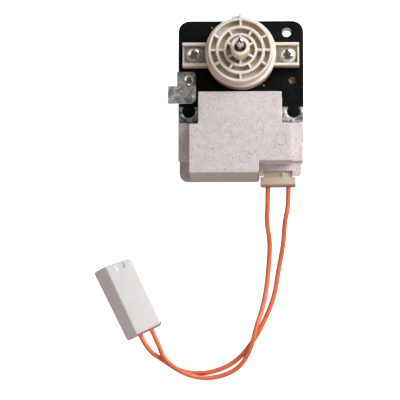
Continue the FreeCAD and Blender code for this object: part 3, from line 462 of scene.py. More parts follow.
class Shader:
    """A node tree with the few helpers that the materials share."""

    def __init__(self, name):
        self.material = bpy.data.materials.new(name)
        self.material.use_nodes = True
        self.tree = self.material.node_tree
        self.bsdf = self.tree.nodes["Principled BSDF"]
        self.place = self.node("ShaderNodeTexCoord").outputs["Object"]

    def node(self, kind, **settings):
        made = self.tree.nodes.new(kind)
        for key, value in settings.items():
            setattr(made, key, value)
        return made

    def link(self, source, target):
        self.tree.links.new(source, target)

    def set(self, **values):
        for key, value in values.items():
            self.bsdf.inputs[key.replace("_", " ")].default_value = value

    def noise(self, scale, detail=3.0, rough=0.5, stretch=None):
        made = self.node("ShaderNodeTexNoise")
        made.inputs["Scale"].default_value = scale
        made.inputs["Detail"].default_value = detail
        made.inputs["Roughness"].default_value = rough
        place = self.place
        if stretch:
            mapping = self.node("ShaderNodeMapping")
            mapping.inputs["Scale"].default_value = stretch
            self.link(self.place, mapping.inputs["Vector"])
            place = mapping.outputs["Vector"]
        self.link(place, made.inputs["Vector"])
        return made.outputs["Fac"]

    def spots(self, scale, size, soft):
        """1 inside small round spots, about one to a cell, and 0 between them."""
        cells = self.node("ShaderNodeTexVoronoi")
        cells.inputs["Scale"].default_value = scale
        self.link(self.place, cells.inputs["Vector"])
        return self.ramp(cells.outputs["Distance"], [(size, (1, 1, 1)), (size + soft, (0, 0, 0))])

    def upright(self):
        """1 on walls that stand along Z, 0 on level faces."""
        axes = self.node("ShaderNodeSeparateXYZ")
        self.link(self.node("ShaderNodeNewGeometry").outputs["Normal"], axes.inputs[0])
        level = self.node("ShaderNodeMath", operation="ABSOLUTE")
        self.link(axes.outputs["Z"], level.inputs[0])
        wall = self.node("ShaderNodeMapRange")
        self.link(level.outputs["Value"], wall.inputs["Value"])
        for label, value in (("From Min", 0.3), ("From Max", 0.8), ("To Min", 1), ("To Max", 0)):
            wall.inputs[label].default_value = value
        return wall.outputs["Result"]

    def near(self, x, y, radius):
        """1 within a radius of an upright line through the piece, in millimetres."""
        offset = self.node("ShaderNodeVectorMath", operation="SUBTRACT")
        self.link(self.place, offset.inputs[0])
        offset.inputs[1].default_value = (x * MM, y * MM, 0)
        flat = self.node("ShaderNodeVectorMath", operation="MULTIPLY")
        self.link(offset.outputs["Vector"], flat.inputs[0])
        flat.inputs[1].default_value = (1, 1, 0)
        length = self.node("ShaderNodeVectorMath", operation="LENGTH")
        self.link(flat.outputs["Vector"], length.inputs[0])
        inside = self.node("ShaderNodeMath", operation="LESS_THAN")
        self.link(length.outputs["Value"], inside.inputs[0])
        inside.inputs[1].default_value = radius * MM
        return inside.outputs["Value"]

    def ramp(self, source, stops):
        made = self.node("ShaderNodeValToRGB")
        set_stops(made.color_ramp, stops)
        self.link(source, made.inputs["Fac"])
        return made.outputs["Color"]

    def mix(self, factor, first, second, blend="MIX"):
        made = self.node("ShaderNodeMix", data_type="RGBA", blend_type=blend)
        for index, value in ((0, factor), (6, first), (7, second)):
            if hasattr(value, "is_linked"):
                self.link(value, made.inputs[index])
            elif index == 0:
                made.inputs[index].default_value = value
            else:
                made.inputs[index].default_value = (*value, 1)
        return made.outputs[2]

    def colour(self, source):
        self.link(source, self.bsdf.inputs["Base Color"])

    def roughness(self, source, low, high):
        made = self.node("ShaderNodeMapRange")
        made.inputs["To Min"].default_value = low
        made.inputs["To Max"].default_value = high
        self.link(source, made.inputs["Value"])
        self.link(made.outputs["Result"], self.bsdf.inputs["Roughness"])

    def bump(self, source, strength, distance):
        made = self.node("ShaderNodeBump")
        made.inputs["Strength"].default_value = strength
        made.inputs["Distance"].default_value = distance
        self.link(source, made.inputs["Height"])
        self.link(made.outputs["Normal"], self.bsdf.inputs["Normal"])


def black_coating():
    s = Shader("black_coating")
    coat = s.ramp(s.noise(900, 4), [(0.35, (0.003, 0.003, 0.003)), (0.7, (0.012, 0.0115, 0.011))])
    # Painted light: the wall of the mount hole and a thin rim round it are near white instead of
    # black, for the light bounced up from the floor onto them.
    hole = s.near(MOUNT_HOLE[0], MOUNT_HOLE[1], MOUNT_HOLE[2] + 0.08)
    shade = s.mix(hole, coat, (0.85, 0.84, 0.83))
    for x, y in STAKES:
        shade = s.mix(s.near(x, y, STAKE_SPOT_R), shade, (0.30, 0.29, 0.26))
    s.colour(shade)
    s.set(Specular_IOR_Level=0.05)
    s.roughness(s.noise(350, 3), 0.36, 0.6)
    s.bump(s.noise(2600, 4), 0.25, 0.00008)
    return s.material


def bare_steel(name="bare_steel", low=(0.12, 0.12, 0.12), high=(0.66, 0.67, 0.67)):
    s = Shader(name)
    s.set(Metallic=1.0)
    s.colour(s.ramp(s.noise(420, 4, 0.6), [(0.38, low), (0.62, high)]))
    s.roughness(s.noise(500, 4), 0.3, 0.6)
    s.bump(s.noise(600, 4), 0.45, 0.0003)
    return s.material


def bright_metal(name, tint, low, high, grain=None, uneven=0.08):
    s = Shader(name)
    s.set(Metallic=1.0)
    pale = tuple(min(1.0, c * 1.12) for c in tint)
    s.colour(s.ramp(s.noise(600, 3), [(0.3, tint), (0.7, pale)]))
    s.roughness(s.noise(900, 3, stretch=grain), low, high)
    s.bump(s.noise(1800, 3, stretch=grain), uneven, 0.00004)
    return s.material


def ivory_moulding():
    s = Shader("ivory_moulding")
    s.set(Subsurface_Weight=0.6, Subsurface_Radius=(1.0, 0.8, 0.6), Subsurface_Scale=0.0022)
    tops = s.ramp(s.noise(140, 4), [(0.3, (0.84, 0.80, 0.73)), (0.7, (0.88, 0.85, 0.80))])
    # Painted shade: faces that stand along Z get a darker tan than the level tops, for the shade that
    # lies on the walls of the rings and spokes.
    s.colour(s.mix(s.upright(), tops, (0.73, 0.61, 0.46)))
    s.roughness(s.noise(1200, 3), 0.34, 0.5)
    s.bump(s.noise(2400, 3), 0.12, 0.00005)
    return s.material


def speckled_moulding():
    s = Shader("speckled_moulding")
    cloud = s.ramp(s.noise(330, 6, 0.65), [(0.3, (0.64, 0.58, 0.57)), (0.7, (0.78, 0.73, 0.72))])
    fine = s.mix(s.spots(1500, 0.2, 0.14), cloud, (0.50, 0.44, 0.46))
    coarse_gate = s.mix(s.ramp(s.noise(520, 2), [(0.5, (0, 0, 0)), (0.62, (1, 1, 1))]),
                        (0, 0, 0), s.spots(950, 0.2, 0.16))
    s.colour(s.mix(coarse_gate, fine, (0.42, 0.35, 0.38)))
    s.roughness(s.noise(800, 3), 0.5, 0.68)
    s.bump(s.noise(1700, 4), 0.22, 0.0001)
    return s.material


def plain_plastic(name, low, high, rough=(0.32, 0.46), subsurface=0.15):
    s = Shader(name)
    s.set(Subsurface_Weight=subsurface, Subsurface_Radius=(1.0, 0.7, 0.5), Subsurface_Scale=0.001)
    s.colour(s.ramp(s.noise(160, 4), [(0.3, low), (0.7, high)]))
    s.roughness(s.noise(1000, 3), *rough)
    s.bump(s.noise(2000, 3), 0.1, 0.00005)
    return s.material


def orange_insulation():
    s = Shader("orange_insulation")
    s.set(Subsurface_Weight=0.1, Subsurface_Radius=(1.0, 0.3, 0.15), Subsurface_Scale=0.0006)
    s.colour(s.ramp(s.noise(240, 4), [(0.3, (0.80, 0.165, 0.065)), (0.7, (0.88, 0.215, 0.09))]))
    s.roughness(s.noise(700, 3), 0.34, 0.5)
    s.bump(s.noise(1600, 3), 0.15, 0.00006)
    return s.material


def felt():
    s = Shader("felt")
    s.colour(s.ramp(s.noise(2500, 5, 0.7), [(0.3, (0.45, 0.42, 0.34)), (0.7, (0.66, 0.62, 0.52))]))
    s.roughness(s.noise(900), 0.85, 1.0)
    s.bump(s.noise(3500, 5), 0.8, 0.0002)
    return s.material


MATERIALS = {
    "stack_black": black_coating(),
    "bare_steel": bare_steel(),
    "copper": bright_metal("copper", (0.78, 0.38, 0.22), 0.25, 0.4),
    "ivory_moulding": ivory_moulding(),
    "bronze": bare_steel("bronze", (0.35, 0.22, 0.10), (0.60, 0.42, 0.22)),
    "felt": felt(),
    "spring_steel": bright_metal("spring_steel", (0.55, 0.56, 0.58), 0.25, 0.4),
    "shaft_steel": bright_metal("shaft_steel", (0.70, 0.70, 0.71), 0.12, 0.22, (1, 1, 0.1)),
    "cage_aluminium": bright_metal("cage_aluminium", (0.72, 0.73, 0.74), 0.35, 0.5),
    "spacer_brass": bright_metal("spacer_brass", (0.75, 0.58, 0.28), 0.2, 0.35),
    "washer_fibre": plain_plastic("washer_fibre", (0.36, 0.12, 0.06), (0.45, 0.17, 0.09)),
    "bright_zinc": bright_metal("bright_zinc", (0.92, 0.93, 0.92), 0.14, 0.26, uneven=0.12),
    "dull_zinc": bare_steel("dull_zinc", (0.40, 0.38, 0.36), (0.98, 0.95, 0.90)),
    "rivet_brass": bright_metal("rivet_brass", (0.30, 0.23, 0.15), 0.3, 0.5),
    "bobbin_nylon": plain_plastic("bobbin_nylon", (0.78, 0.78, 0.74), (0.84, 0.84, 0.80)),
    "speckled_moulding": speckled_moulding(),
    "tinned_metal": bright_metal("tinned_metal", (0.70, 0.70, 0.66), 0.2, 0.35),
    "beige_nylon": plain_plastic("beige_nylon", (0.62, 0.53, 0.40), (0.68, 0.59, 0.46),
                                 (0.3, 0.42), 0.3),
    "orange_insulation": orange_insulation(),
    "white_nylon": plain_plastic("white_nylon", (0.94, 0.93, 0.92), (0.97, 0.96, 0.95),
                                 (0.25, 0.38), 0.4),
}


# Stator steel

def mirrored_loop(points):
    """The outline mirrored in x, still running the same way round."""
    return [(-x, y) for x, y in reversed(points)]


def key_arc(gap, steps=20):
    """Outline of the right leg's round key, from the right side of its neck to the left side."""
    radius, half = KEY_R + gap, KEY_NECK_HALF + gap
    opening = math.asin(half / radius)
    points = []
    for k in range(steps + 1):
        angle = math.pi / 2 - opening - (2 * math.pi - 2 * opening) * k / steps
        points.append((KEY_X + radius * math.cos(angle), KEY_Y + radius * math.sin(angle)))
    return points


def lamination_levels(z0, z1):
    """Fine grooves between the sheets on the sides of a stack."""
    levels = []
    count = int(round((z1 - z0) / SHEET_T))
    for i in range(1, count):
        z = z0 + i * SHEET_T
        levels += [(z - SHEET_GROOVE_HALF, 0.0), (z, SHEET_GROOVE), (z + SHEET_GROOVE_HALF, 0.0)]
    return levels


def make_stack():
    neck = KEY_NECK_HALF
    key = [(KEY_X - neck, LEG_END_Y)] + list(reversed(key_arc(0))) + [(KEY_X + neck, LEG_END_Y)]
    top = rounded([(STACK_HALF_W, LEG_END_Y, 0), (STACK_HALF_W, STACK_TOP_Y, STACK_CORNER_R),
                   (-STACK_HALF_W, STACK_TOP_Y, STACK_CORNER_R), (-STACK_HALF_W, LEG_END_Y, 0)], 10)
    outer = [(LEG_RIGHT_X, STACK_WAIST_Y), (LEG_RIGHT_X, LEG_END_Y)] + key + top
    outer += mirrored_loop(key) + [(LEG_LEFT_X, LEG_END_Y), (LEG_LEFT_X, STACK_WAIST_Y)]
    loops = [outer, circle(0, 0, BORE_R, 72, True), circle(*MOUNT_HOLE, 40, True)]
    for side in (-1, 1):
        loops.append(circle(side * SIDE_HOLE[0], *SIDE_HOLE[1:], 32, True))
        loops.append(circle(side * SCREW_X, 0, SCREW_HOLE_R, 24, True))
    piece = slab("lamination_stack", loops, STACK_Z0, STACK_Z1, 0.12, 2,
                 lamination_levels(STACK_Z0, STACK_Z1))
    dent = [(0, STACK_Z1 - 0.3), (0.5, STACK_Z1 - 0.28), (0.65, STACK_Z1 + 0.1),
            (0, STACK_Z1 + 0.1)]
    stakes = [lathe("stake", dent, x, y, 20) for x, y in STAKES]
    return finish_piece(cut(piece, stakes), "stack_black", ["stator_stack"])


def make_yoke():
    top = LEG_END_Y - 0.05
    neck = KEY_NECK_HALF + KEY_GAP
    # The two sharp corners only give the arcs their directions and are cut off again
    foot = rounded([(-STACK_HALF_W, YOKE_END_Y, 1.5), (STACK_HALF_W, YOKE_END_Y, 1.5),
                    (STACK_HALF_W, top, 0), (-STACK_HALF_W, top, 0)], 5)[:12]
    socket = [(STACK_HALF_W, top), (KEY_X + neck, top)] + key_arc(KEY_GAP) + [(KEY_X - neck, top)]
    window = [(LEG_RIGHT_X, top), (LEG_RIGHT_X, YOKE_WINDOW_Y), (LEG_LEFT_X, YOKE_WINDOW_Y),
              (LEG_LEFT_X, top)]
    outer = foot + socket + window + mirrored_loop(socket)
    piece = slab("yoke", [outer], STACK_Z0, STACK_Z1, 0.12, 2,
                 lamination_levels(STACK_Z0, STACK_Z1))
    return finish_piece(piece, "bare_steel", ["yoke_stack"])


# Front bracket

def disc_profile():
    """Turned form of the flange with its rings, hub and bearing seat, as (radius, z, rounding)."""
    seat = [(BALL_R * math.cos(a), BALL_Z + BALL_R * math.sin(a), 0)
            for a in [math.radians(d) for d in (62, 48, 34, 20, 8)]]
    ring_top, floor = DISC_TOP_Z, POCKET_FLOOR_Z
    return [(SHAFT_HOLE_R, HUB_BORE_FLOOR_Z, 0), (SHAFT_HOLE_R, BALL_Z + 4.2, 0)] + seat + [
        (BALL_R, BALL_Z, 0), (SEAT_POCKET_R, BALL_Z, 0), (SEAT_POCKET_R, SEAT_END_Z, 0.2),
        (SEAT_TUBE_R, SEAT_END_Z, 0.2), (SEAT_TUBE_R, ARM_RIB_Z, 0),
        (SKIRT_R, ARM_RIB_Z, 0), (SKIRT_R, SKIRT_Z, 0.2), (FLANGE_R - 0.15, SKIRT_Z, 0.3),
        (FLANGE_R, FLANGE_TOP_Z, 0.35),
        (RIM_OUT + 0.05, FLANGE_TOP_Z, 0.3), (RIM_OUT, ring_top, 0.25),
        (RIM_IN, ring_top, 0.2), (RIM_IN - 0.12, floor, 0.3),
        (MIDDLE_OUT + 0.12, floor, 0.3), (MIDDLE_OUT, ring_top, 0.22),
        (MIDDLE_IN, ring_top, 0.22), (MIDDLE_IN - 0.12, floor, 0.3),
        (INNER_OUT + 0.12, floor, 0.3), (INNER_OUT, ring_top, 0.2),
        (INNER_IN, ring_top, 0.2), (INNER_IN - 0.1, floor, 0.25),
        (HUB_R + 0.15, floor, 0.25), (HUB_R, HUB_TOP_Z, 0.4),
        (HUB_BORE_R, HUB_TOP_Z, 0.25), (HUB_BORE_R, HUB_BORE_FLOOR_Z, 0),
    ]


def spoke_bars():
    spans = [(OUTER_SPOKES, MIDDLE_OUT - 0.6, RIM_IN + 0.4),
             (MIDDLE_SPOKES, INNER_OUT - 0.5, MIDDLE_IN + 0.5),
             (INNER_SPOKES, HUB_R - 0.5, INNER_IN + 0.4)]
    half, edge = SPOKE_T / 2, SPOKE_EDGE_R
    z0, z1 = POCKET_FLOOR_Z - 0.4, DISC_TOP_Z - 0.08
    section = rounded([(-half, z0, 0), (half, z0, 0), (half, z1, edge), (-half, z1, edge)], 4)
    bars = []
    for angles, r0, r1 in spans:
        for angle in angles:
            way = Vector((math.cos(math.radians(angle)), math.sin(math.radians(angle))))
            bars.append(bar("spoke", section, way * r0, way * r1))
    return bars


def arm_pieces(side):
    x0, x1 = sorted((side * 10, side * ARM_HALF_L))
    lip0, lip1 = sorted((side * (ARM_HALF_L - ARM_LIP_T), side * ARM_HALF_L))
    inner = ARM_HALF_W - ARM_RIB_T
    return [
        soft_box("arm_floor", x0, x1, -ARM_HALF_W, ARM_HALF_W, STACK_Z1, ARM_FLOOR_Z, 0.15),
        soft_box("arm_rib", x0, x1, inner, ARM_HALF_W, STACK_Z1, ARM_RIB_Z + 0.4, 0.3),
        soft_box("arm_rib", x0, x1, -ARM_HALF_W, -inner, STACK_Z1, ARM_RIB_Z + 0.4, 0.3),
        soft_box("arm_lip", lip0, lip1, -ARM_HALF_W, ARM_HALF_W, STACK_Z1, ARM_LIP_Z, 0.25),
        lathe("boss", round_profile([(0, STACK_Z1 + 0.5, 0), (SCREW_BOSS_R, STACK_Z1 + 0.5, 0),
                                     (SCREW_BOSS_R - 0.1, SCREW_SEAT_Z, 0.3),
                                     (0, SCREW_SEAT_Z, 0)]), side * SCREW_X, 0, 48),
    ]


def make_front_bracket():
    arms = []
    for side in (-1, 1):
        arm = merged(arm_pieces(side))
        room = lathe("room", [(0, STACK_Z1 - 1), (ROOM_R, STACK_Z1 - 1), (ROOM_R, ARM_RIB_Z + 1),
                              (0, ARM_RIB_Z + 1)], 0, 0, 72)
        hole = lathe("hole", [(0, STACK_Z1 - 1), (BOSS_HOLE_R, STACK_Z1 - 1),
                              (BOSS_HOLE_R, SCREW_SEAT_Z + 1), (0, SCREW_SEAT_Z + 1)],
                     side * SCREW_X, 0, 32)
        arms.append(cut(arm, [room, hole]))
    disc = lathe("front_bracket", round_profile(disc_profile()), 0, 0, 96)
    half_rib = LOCATING_RIB_T / 2
    extras = [
        soft_box("locating_rib", -half_rib, half_rib, RIM_OUT - 0.8, LOCATING_RIB_R,
                 FLANGE_TOP_Z - 1, LOCATING_RIB_Z, 0.2),
        soft_box("bump", -half_rib - BUMP_W, -half_rib + 0.3, FLANGE_R - 2, FLANGE_R + BUMP_OUT,
                 FLANGE_TOP_Z - 0.8, FLANGE_TOP_Z + 0.06, 0.12),
    ]
    piece = merged([disc] + arms + spoke_bars() + extras)
    return finish_piece(piece, "ivory_moulding", ["front_bracket"])


# Screws, ground tab and shaft

def cross_cutter(x, y, z, long, short, depth, turn):
    """Prism with a plus-shaped outline for a driver recess."""
    quarter = [(long, -short), (long, short), (short, short)]
    loop = []
    for k in range(4):
        spin = Matrix.Rotation(math.radians(turn + 90 * k), 2)
        for corner in quarter:
            place = spin @ Vector(corner)
            loop.append((x + place.x, y + place.y))
    return slab("cross", [loop], z - depth, z + 0.5, 0)


def screw(name, x, y, seat, end, radius, height, turn):
    shank = SCREW_SHANK_R
    profile = [
        (0, end, 0), (shank - 0.5, end, 0), (shank, end + 0.8, 0), (shank, seat, 0),
        (radius - 0.15, seat, 0), (radius, seat + 0.2, 0.1), (radius, seat + height * 0.34, 0.4),
        (radius * 0.88, seat + height * 0.72, 0.9), (radius * 0.45, seat + height * 0.98, 1.5),
        (0, seat + height, 0),
    ]
    head = lathe(name, round_profile(profile, 5), x, y, 56)
    top = seat + height
    return cut(head, [cross_cutter(x, y, top, radius * CROSS_LONG, radius * CROSS_SHORT,
                                   CROSS_DEPTH, turn)])


def make_screws():
    pair = [screw("bracket_screw", side * SCREW_X, 0, SCREW_SEAT_Z, SCREW_END_Z,
                  SCREW_HEAD_R, SCREW_HEAD_H, turn) for side, turn in zip((-1, 1), SCREW_TURNS)]
    for piece in pair:
        finish_piece(piece, "bright_zinc", ["bracket_screws"], METAL_SMOOTH_DEGREES)
    ground = screw("ground_screw", -SIDE_HOLE[0], SIDE_HOLE[1], TAB_Z1, GROUND_END_Z,
                   GROUND_HEAD_R, GROUND_HEAD_H, GROUND_TURN)
    finish_piece(ground, "bright_zinc", ["ground_screw"], METAL_SMOOTH_DEGREES)


def make_ground_tab():
    outline = rounded([
        (TAB_RIGHT_X, TAB_TOP_Y, 1.9), (TAB_STEM_X, TAB_TOP_Y, 0.3), (TAB_STEM_X, TAB_STEP_Y, 0.3),
        (TAB_BLADE_X, TAB_STEP_Y, 0.3), (TAB_BLADE_X, TAB_END_Y, 0.3),
        (TAB_RIGHT_X - TAB_CHAMFER, TAB_END_Y, 0.3), (TAB_RIGHT_X, TAB_END_Y + TAB_CHAMFER, 0.3),
    ], 6)
    hole = circle(-SIDE_HOLE[0], SIDE_HOLE[1], SCREW_SHANK_R + 0.15, 32, True)
    piece = slab("ground_tab", [outline, hole], STACK_Z1, TAB_Z1, 0.28, 4)
    return finish_piece(piece, "dull_zinc", ["ground_tab"])


def make_shaft():
    profile = round_profile([(0, SHAFT_Z0, 0), (JOURNAL_R, SHAFT_Z0, 0.2),
                             (JOURNAL_R, SHOULDER_Z, 0.05), (SHAFT_R, SHOULDER_Z, 0),
                             (SHAFT_R, SHAFT_Z1, SHAFT_TIP_R), (0, SHAFT_Z1, 0)], 8)
    piece = lathe("output_shaft", profile, 0, 0, 56, "rotor")
    return finish_piece(piece, "shaft_steel", ["shaft"], METAL_SMOOTH_DEGREES)


# Coil housing

def block_loop():
    corners = [
        (BLOCK_RIGHT, BLOCK_TOP_Y, 0.6), (BLOCK_LEFT, BLOCK_TOP_Y, 0.6),
        (BLOCK_LEFT, BLOCK_SHOULDER_Y, 0.9), (BLOCK_WIDE_LEFT, BLOCK_SHOULDER_Y, 1.1),
        (BLOCK_WIDE_LEFT, BLOCK_END_Y, 0.6), (NOTCH_X, BLOCK_END_Y, 1.5), (NOTCH_X, NOTCH_Y, 1.0),
        (BLOCK_WIDE_RIGHT, NOTCH_Y, 0.6), (BLOCK_WIDE_RIGHT, BLOCK_SHOULDER_Y, 1.1),
        (BLOCK_RIGHT, BLOCK_SHOULDER_Y, 0.9),
    ]
    return rounded(corners, 6)


def make_coil_housing():
    block = slab("coil_housing", [block_loop()], 0, BLOCK_TOP_Z, 0.35, 4)
    wings = soft_box("wings", WING_LEFT, WING_RIGHT, WING_END_Y, WING_TOP_Y, WING_Z0, WING_Z1,
                     0.35, 0.6)
    base = slab("base", [rounded([
        (WING_RIGHT, WING_TOP_Y, 0.6), (BASE_LEFT, WING_TOP_Y, 0.6),
        (BASE_LEFT, BLOCK_END_Y, 4.0), (0, BLOCK_END_Y, 0), (0, WING_END_Y, 0),
        (WING_RIGHT, WING_END_Y, 4.0)], 8)], 0, BASE_TOP_Z, 0.3, 3)
    header = soft_box("header", HEADER_X0, HEADER_X1, HEADER_EDGE_Y, WING_END_Y + 1, HEADER_Z0,
                      STACK_Z1, 0.25, 0.4)
    lug_left = soft_box("lug", HEADER_X0, CONNECTOR_X - SOCKET_HALF_W, LUG_END_Y, HEADER_EDGE_Y + 1,
                        STACK_Z1 - LUG_T, STACK_Z1, 0.25, 0.3)
    lug_right = slab("lug", [rounded([
        (CONNECTOR_X + SOCKET_HALF_W, LUG_END_Y, 0.3), (HEADER_X1, LUG_END_Y, 1.5),
        (HEADER_X1, HEADER_EDGE_Y + 1, 0.3), (CONNECTOR_X + SOCKET_HALF_W, HEADER_EDGE_Y + 1, 0.3),
    ], 5)], STACK_Z1 - LUG_T, STACK_Z1, 0.25, 3)
    body = merged([block, wings, base, header, lug_left, lug_right])
    gap = HOUSING_GAP
    undercut = [(WING_END_Y - 1, WING_Z0 - 1), (WING_END_Y + UNDERCUT_REACH, WING_Z0 - 1),
                (WING_END_Y, WING_Z1 - UNDERCUT_LIP), (WING_END_Y - 1, WING_Z1 - UNDERCUT_LIP)]
    rooms = [
        bar("undercut", undercut, Vector((BLOCK_WIDE_LEFT - 0.05, 0)), Vector((WING_LEFT - 1, 0))),
        plain_box(-COIL_ROOM_X, COIL_ROOM_X, BAR_Y - COIL_ROOM_Y, BAR_Y + COIL_ROOM_Y,
                  STACK_MID_Z - COIL_ROOM_Z, STACK_MID_Z + COIL_ROOM_Z),
        plain_box(-STACK_HALF_W - gap, STACK_HALF_W + gap, YOKE_END_Y - gap, YOKE_WINDOW_Y + gap,
                  STACK_Z0 - gap, STACK_Z1 + gap),
        plain_box(CONNECTOR_X - SOCKET_HALF_W, CONNECTOR_X + SOCKET_HALF_W, HEADER_EDGE_Y - 3,
                  SOCKET_FLOOR_Y, LEAD_Z - SHROUD_HALF_H - gap, LEAD_Z + SHROUD_HALF_H + gap),
    ]
    for x0, x1 in ((-STACK_HALF_W - gap, LEG_LEFT_X + gap), (LEG_RIGHT_X - gap, STACK_HALF_W + gap)):
        rooms.append(plain_box(x0, x1, YOKE_END_Y, LEG_END_Y, STACK_Z0 - gap, STACK_Z1 + gap))
    for x, y, radius in EJECTORS:
        low, high = BLOCK_TOP_Z - EJECTOR_DEPTH, BLOCK_TOP_Z + 0.1
        mark = [(radius - EJECTOR_FLOOR_HALF, low), (radius + EJECTOR_FLOOR_HALF, low),
                (radius + EJECTOR_MOUTH_HALF, high), (radius - EJECTOR_MOUTH_HALF, high)]
        rooms.append(lathe("mark", mark, x, y, 64))
    return finish_piece(cut(body, rooms), "speckled_moulding", ["coil_housing"])


# Connector and plug

def make_connector():
    shroud = soft_box("connector", CONNECTOR_X - SHROUD_HALF_W, CONNECTOR_X + SHROUD_HALF_W,
                      BODY_Y1 - 0.5, SOCKET_FLOOR_Y - 0.05, LEAD_Z - SHROUD_HALF_H,
                      LEAD_Z + SHROUD_HALF_H, 0.2)
    block = soft_box("block", CONNECTOR_X - BODY_HALF_W, CONNECTOR_X + BODY_HALF_W, BODY_Y0,
                     BODY_Y1, LEAD_Z - BODY_HALF_H, LEAD_Z + BODY_HALF_H, 0.4, 0.5)
    neck = soft_box("neck", CONNECTOR_X - SHROUD_HALF_W, CONNECTOR_X + SHROUD_HALF_W,
                    BODY_Y1 - 0.8, HEADER_EDGE_Y - 0.3, LEAD_Z, LEAD_Z + BODY_HALF_H - NECK_SET,
                    0.3)
    rib = soft_box("rib", KEY_RIB_X - KEY_RIB_HALF, KEY_RIB_X + KEY_RIB_HALF, BODY_Y0 + 2.2,
                   HEADER_EDGE_Y - 0.4, LEAD_Z, LEAD_Z + BODY_HALF_H + 0.12, 0.1)
    cells = []
    for x in (CONNECTOR_X - PIN_PITCH / 2, CONNECTOR_X + PIN_PITCH / 2):
        cells.append(plain_box(x - CELL_HALF, x + CELL_HALF, SOCKET_FLOOR_Y - CELL_L,
                               SOCKET_FLOOR_Y + 1, LEAD_Z - CELL_HALF, LEAD_Z + CELL_HALF))
    piece = cut(merged([shroud, block, neck, rib]), cells)
    return finish_piece(piece, "beige_nylon", ["connector_housing"])


SWAP_Y_AND_Z = Matrix(((1, 0, 0, 0), (0, 0, 1, 0), (0, 1, 0, 0), (0, 0, 0, 1)))


def plug_place():
    """Matrix from the plug's own axes (X across, Y along) to where it lies, in metres."""
    lies = Matrix.Rotation(math.radians(PLUG_TURN - 90), 4, "Z")
    lies.translation = Vector((*PLUG_ENTRY, 0)) * MM
    return lies


def make_plug():
    section = rounded([
        (PLUG_FOOT_LEFT, 0, 0.9), (PLUG_RIGHT, 0, 0.9), (PLUG_RIGHT, PLUG_H, 1.1),
        (PLUG_TOP_LEFT, PLUG_H, 1.8), (PLUG_FOOT_LEFT, PLUG_FOOT_H, 1.8)], 7)
    body = slab("plug", [section], -1, PLUG_L + 1, 0)
    body.data.transform(SWAP_Y_AND_Z)
    plan = slab("plan", [rounded([
        (PLUG_FOOT_LEFT + PLUG_FOOT_TAPER, 0, 0.9), (PLUG_RIGHT, 0, 2.0),
        (PLUG_RIGHT, PLUG_L - PLUG_END_SKEW, 3.0), (PLUG_FOOT_LEFT, PLUG_L, 0.9)], 8)],
        0, PLUG_H, 0.7, 5)
    carve(body, plan, "INTERSECT")
    x, y, half_l, half_w = PLUG_MARK
    cutters = [soft_box("mark", x - half_l, x + half_l, y - half_w, y + half_w,
                        PLUG_H - PLUG_MARK_DEPTH, PLUG_H + 1, 0.2, 0.4)]
    low, high = PLUG_L - PLUG_BORE_L, PLUG_L + 1
    for across in (-PLUG_LEAD_PITCH / 2, PLUG_LEAD_PITCH / 2):
        bore = lathe("bore", [(0, low), (PLUG_BORE_R, low), (PLUG_BORE_R, high), (0, high)],
                     0, 0, 32)
        place = Matrix.Translation((across * MM, 0, LEAD_PLUG_Z * MM))
        bore.data.transform(place @ SWAP_Y_AND_Z)
        cutters.append(bore)
    piece = cut(body, cutters)
    piece.data.transform(plug_place())
    return finish_piece(piece, "white_nylon", ["plug_housing"])


# Lights, floor and world

LIGHT_AIM = (0, -0.05, 0)
FLOOR_HALF, FLOOR_DROP = 3.0, 0.0002    # metres
# Height of the direction of view, from 0 straight down to 1 straight up, and its colour
WORLD_STOPS = [(0.0, (0.16, 0.12, 0.11)), (0.5, (0.26, 0.22, 0.21)), (0.75, (0.22, 0.20, 0.20)),
               (0.93, (0.05, 0.05, 0.05))]


def add_light(name, direction, distance, size, power, colour=(1, 1, 1), glossy=True,
              diffuse=True):
    data = bpy.data.lights.new(name, "AREA")
    data.shape = "DISK"
    data.size = size
    data.energy = power
    data.color = colour
    lamp = bpy.data.objects.new(name, data)
    way = Vector(direction).normalized()
    lamp.location = Vector(LIGHT_AIM) + way * distance
    lamp.rotation_mode = "QUATERNION"
    lamp.rotation_quaternion = way.to_track_quat("Z", "Y")
    lamp.visible_glossy = glossy
    lamp.visible_diffuse = diffuse
    bpy.context.collection.objects.link(lamp)


def add_floor():
    half = FLOOR_HALF
    bm = bmesh.new()
    corners = [(-half, -half), (half, -half), (half, half), (-half, half)]
    bm.faces.new([bm.verts.new((x, y, -FLOOR_DROP)) for x, y in corners])
    floor = link_mesh("floor", bm, None)
    s = Shader("pale_floor")
    s.colour(s.ramp(s.noise(3), [(0.3, (0.90, 0.90, 0.90)), (0.7, (0.92, 0.92, 0.92))]))
    s.set(Roughness=0.9, Emission_Color=(1, 1, 1, 1), Emission_Strength=1.0)
    floor.data.materials.append(s.material)
    floor.visible_diffuse = False
    floor.visible_glossy = False


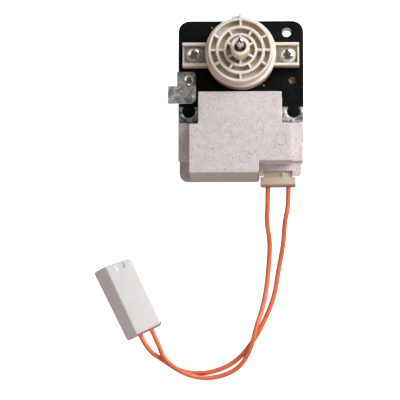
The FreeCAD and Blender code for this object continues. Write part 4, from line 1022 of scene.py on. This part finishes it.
def add_world():
    """Dim room: dark overhead, soft at the horizon, warm from below."""
    world = bpy.data.worlds.new("studio")
    world.use_nodes = True
    tree = world.node_tree
    axes = tree.nodes.new("ShaderNodeSeparateXYZ")
    tree.links.new(tree.nodes.new("ShaderNodeTexCoord").outputs["Generated"], axes.inputs[0])
    height = tree.nodes.new("ShaderNodeMapRange")
    height.inputs["From Min"].default_value = -1.0
    tree.links.new(axes.outputs["Z"], height.inputs["Value"])
    ramp = tree.nodes.new("ShaderNodeValToRGB")
    tree.links.new(height.outputs["Result"], ramp.inputs["Fac"])
    set_stops(ramp.color_ramp, WORLD_STOPS)
    background = tree.nodes["Background"]
    tree.links.new(ramp.outputs["Color"], background.inputs["Color"])
    background.inputs["Strength"].default_value = 1.0
    bpy.context.scene.world = world


# Leads

def lead(name, route, slot, node):
    """Round tube on a NURBS path along the route, in metres."""
    data = bpy.data.curves.new(name, "CURVE")
    data.dimensions = "3D"
    data.bevel_depth = LEAD_R
    data.bevel_resolution = 6
    data.resolution_u = 10
    data.use_fill_caps = True
    spline = data.splines.new("NURBS")
    spline.points.add(len(route) - 1)
    for point, place in zip(spline.points, route):
        point.co = (*place, 1.0)
    spline.use_endpoint_u = True
    spline.order_u = 3
    data.materials.append(MATERIALS[slot])
    piece = bpy.data.objects.new(name, data)
    bpy.context.collection.objects.link(piece)
    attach(piece, "stator")
    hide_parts(node)
    return piece


def make_leads(plug):
    first = lead("lead_left", ROUTE_A, "orange_insulation", "lead_wire_a")
    second = lead("lead_right", ROUTE_B, "orange_insulation", "lead_wire_b")


# CAD nodes that keep their shape

def dress_cad_nodes():
    """Give each CAD node the material that the record's slot names."""
    slots = {s["node"]: s["material_slot"] for s in frame["record"]["subparts"]}
    for node, piece in frame["nodes"].items():
        piece.data.materials.clear()
        piece.data.materials.append(MATERIALS[slots[node]])


add_camera()
add_world()
add_floor()

# Each light's direction from the motor, its distance and size in metres, and its power in watts
add_light("key", (0.68, 0.44, 0.64), 1.0, 0.85, 9.8)
add_light("overhead", (0.3, 0.2, 1.0), 1.2, 0.9, 2.6, glossy=False)
add_light("right_panel", (0.75, 0.5, 0.5), 1.0, 1.4, 6.5, diffuse=False)
add_light("left_panel", (-0.75, 0.6, 0.5), 1.0, 1.1, 2.2, diffuse=False)
add_light("front", (-0.15, -1.0, 0.4), 1.2, 0.8, 4.5, (1.0, 0.84, 0.78))

dress_cad_nodes()
make_leads(make_plug())
make_stack()
make_yoke()
make_front_bracket()
make_screws()
make_ground_tab()
make_shaft()
make_coil_housing()
make_connector()

bpy.context.scene.view_settings.view_transform = "Standard"
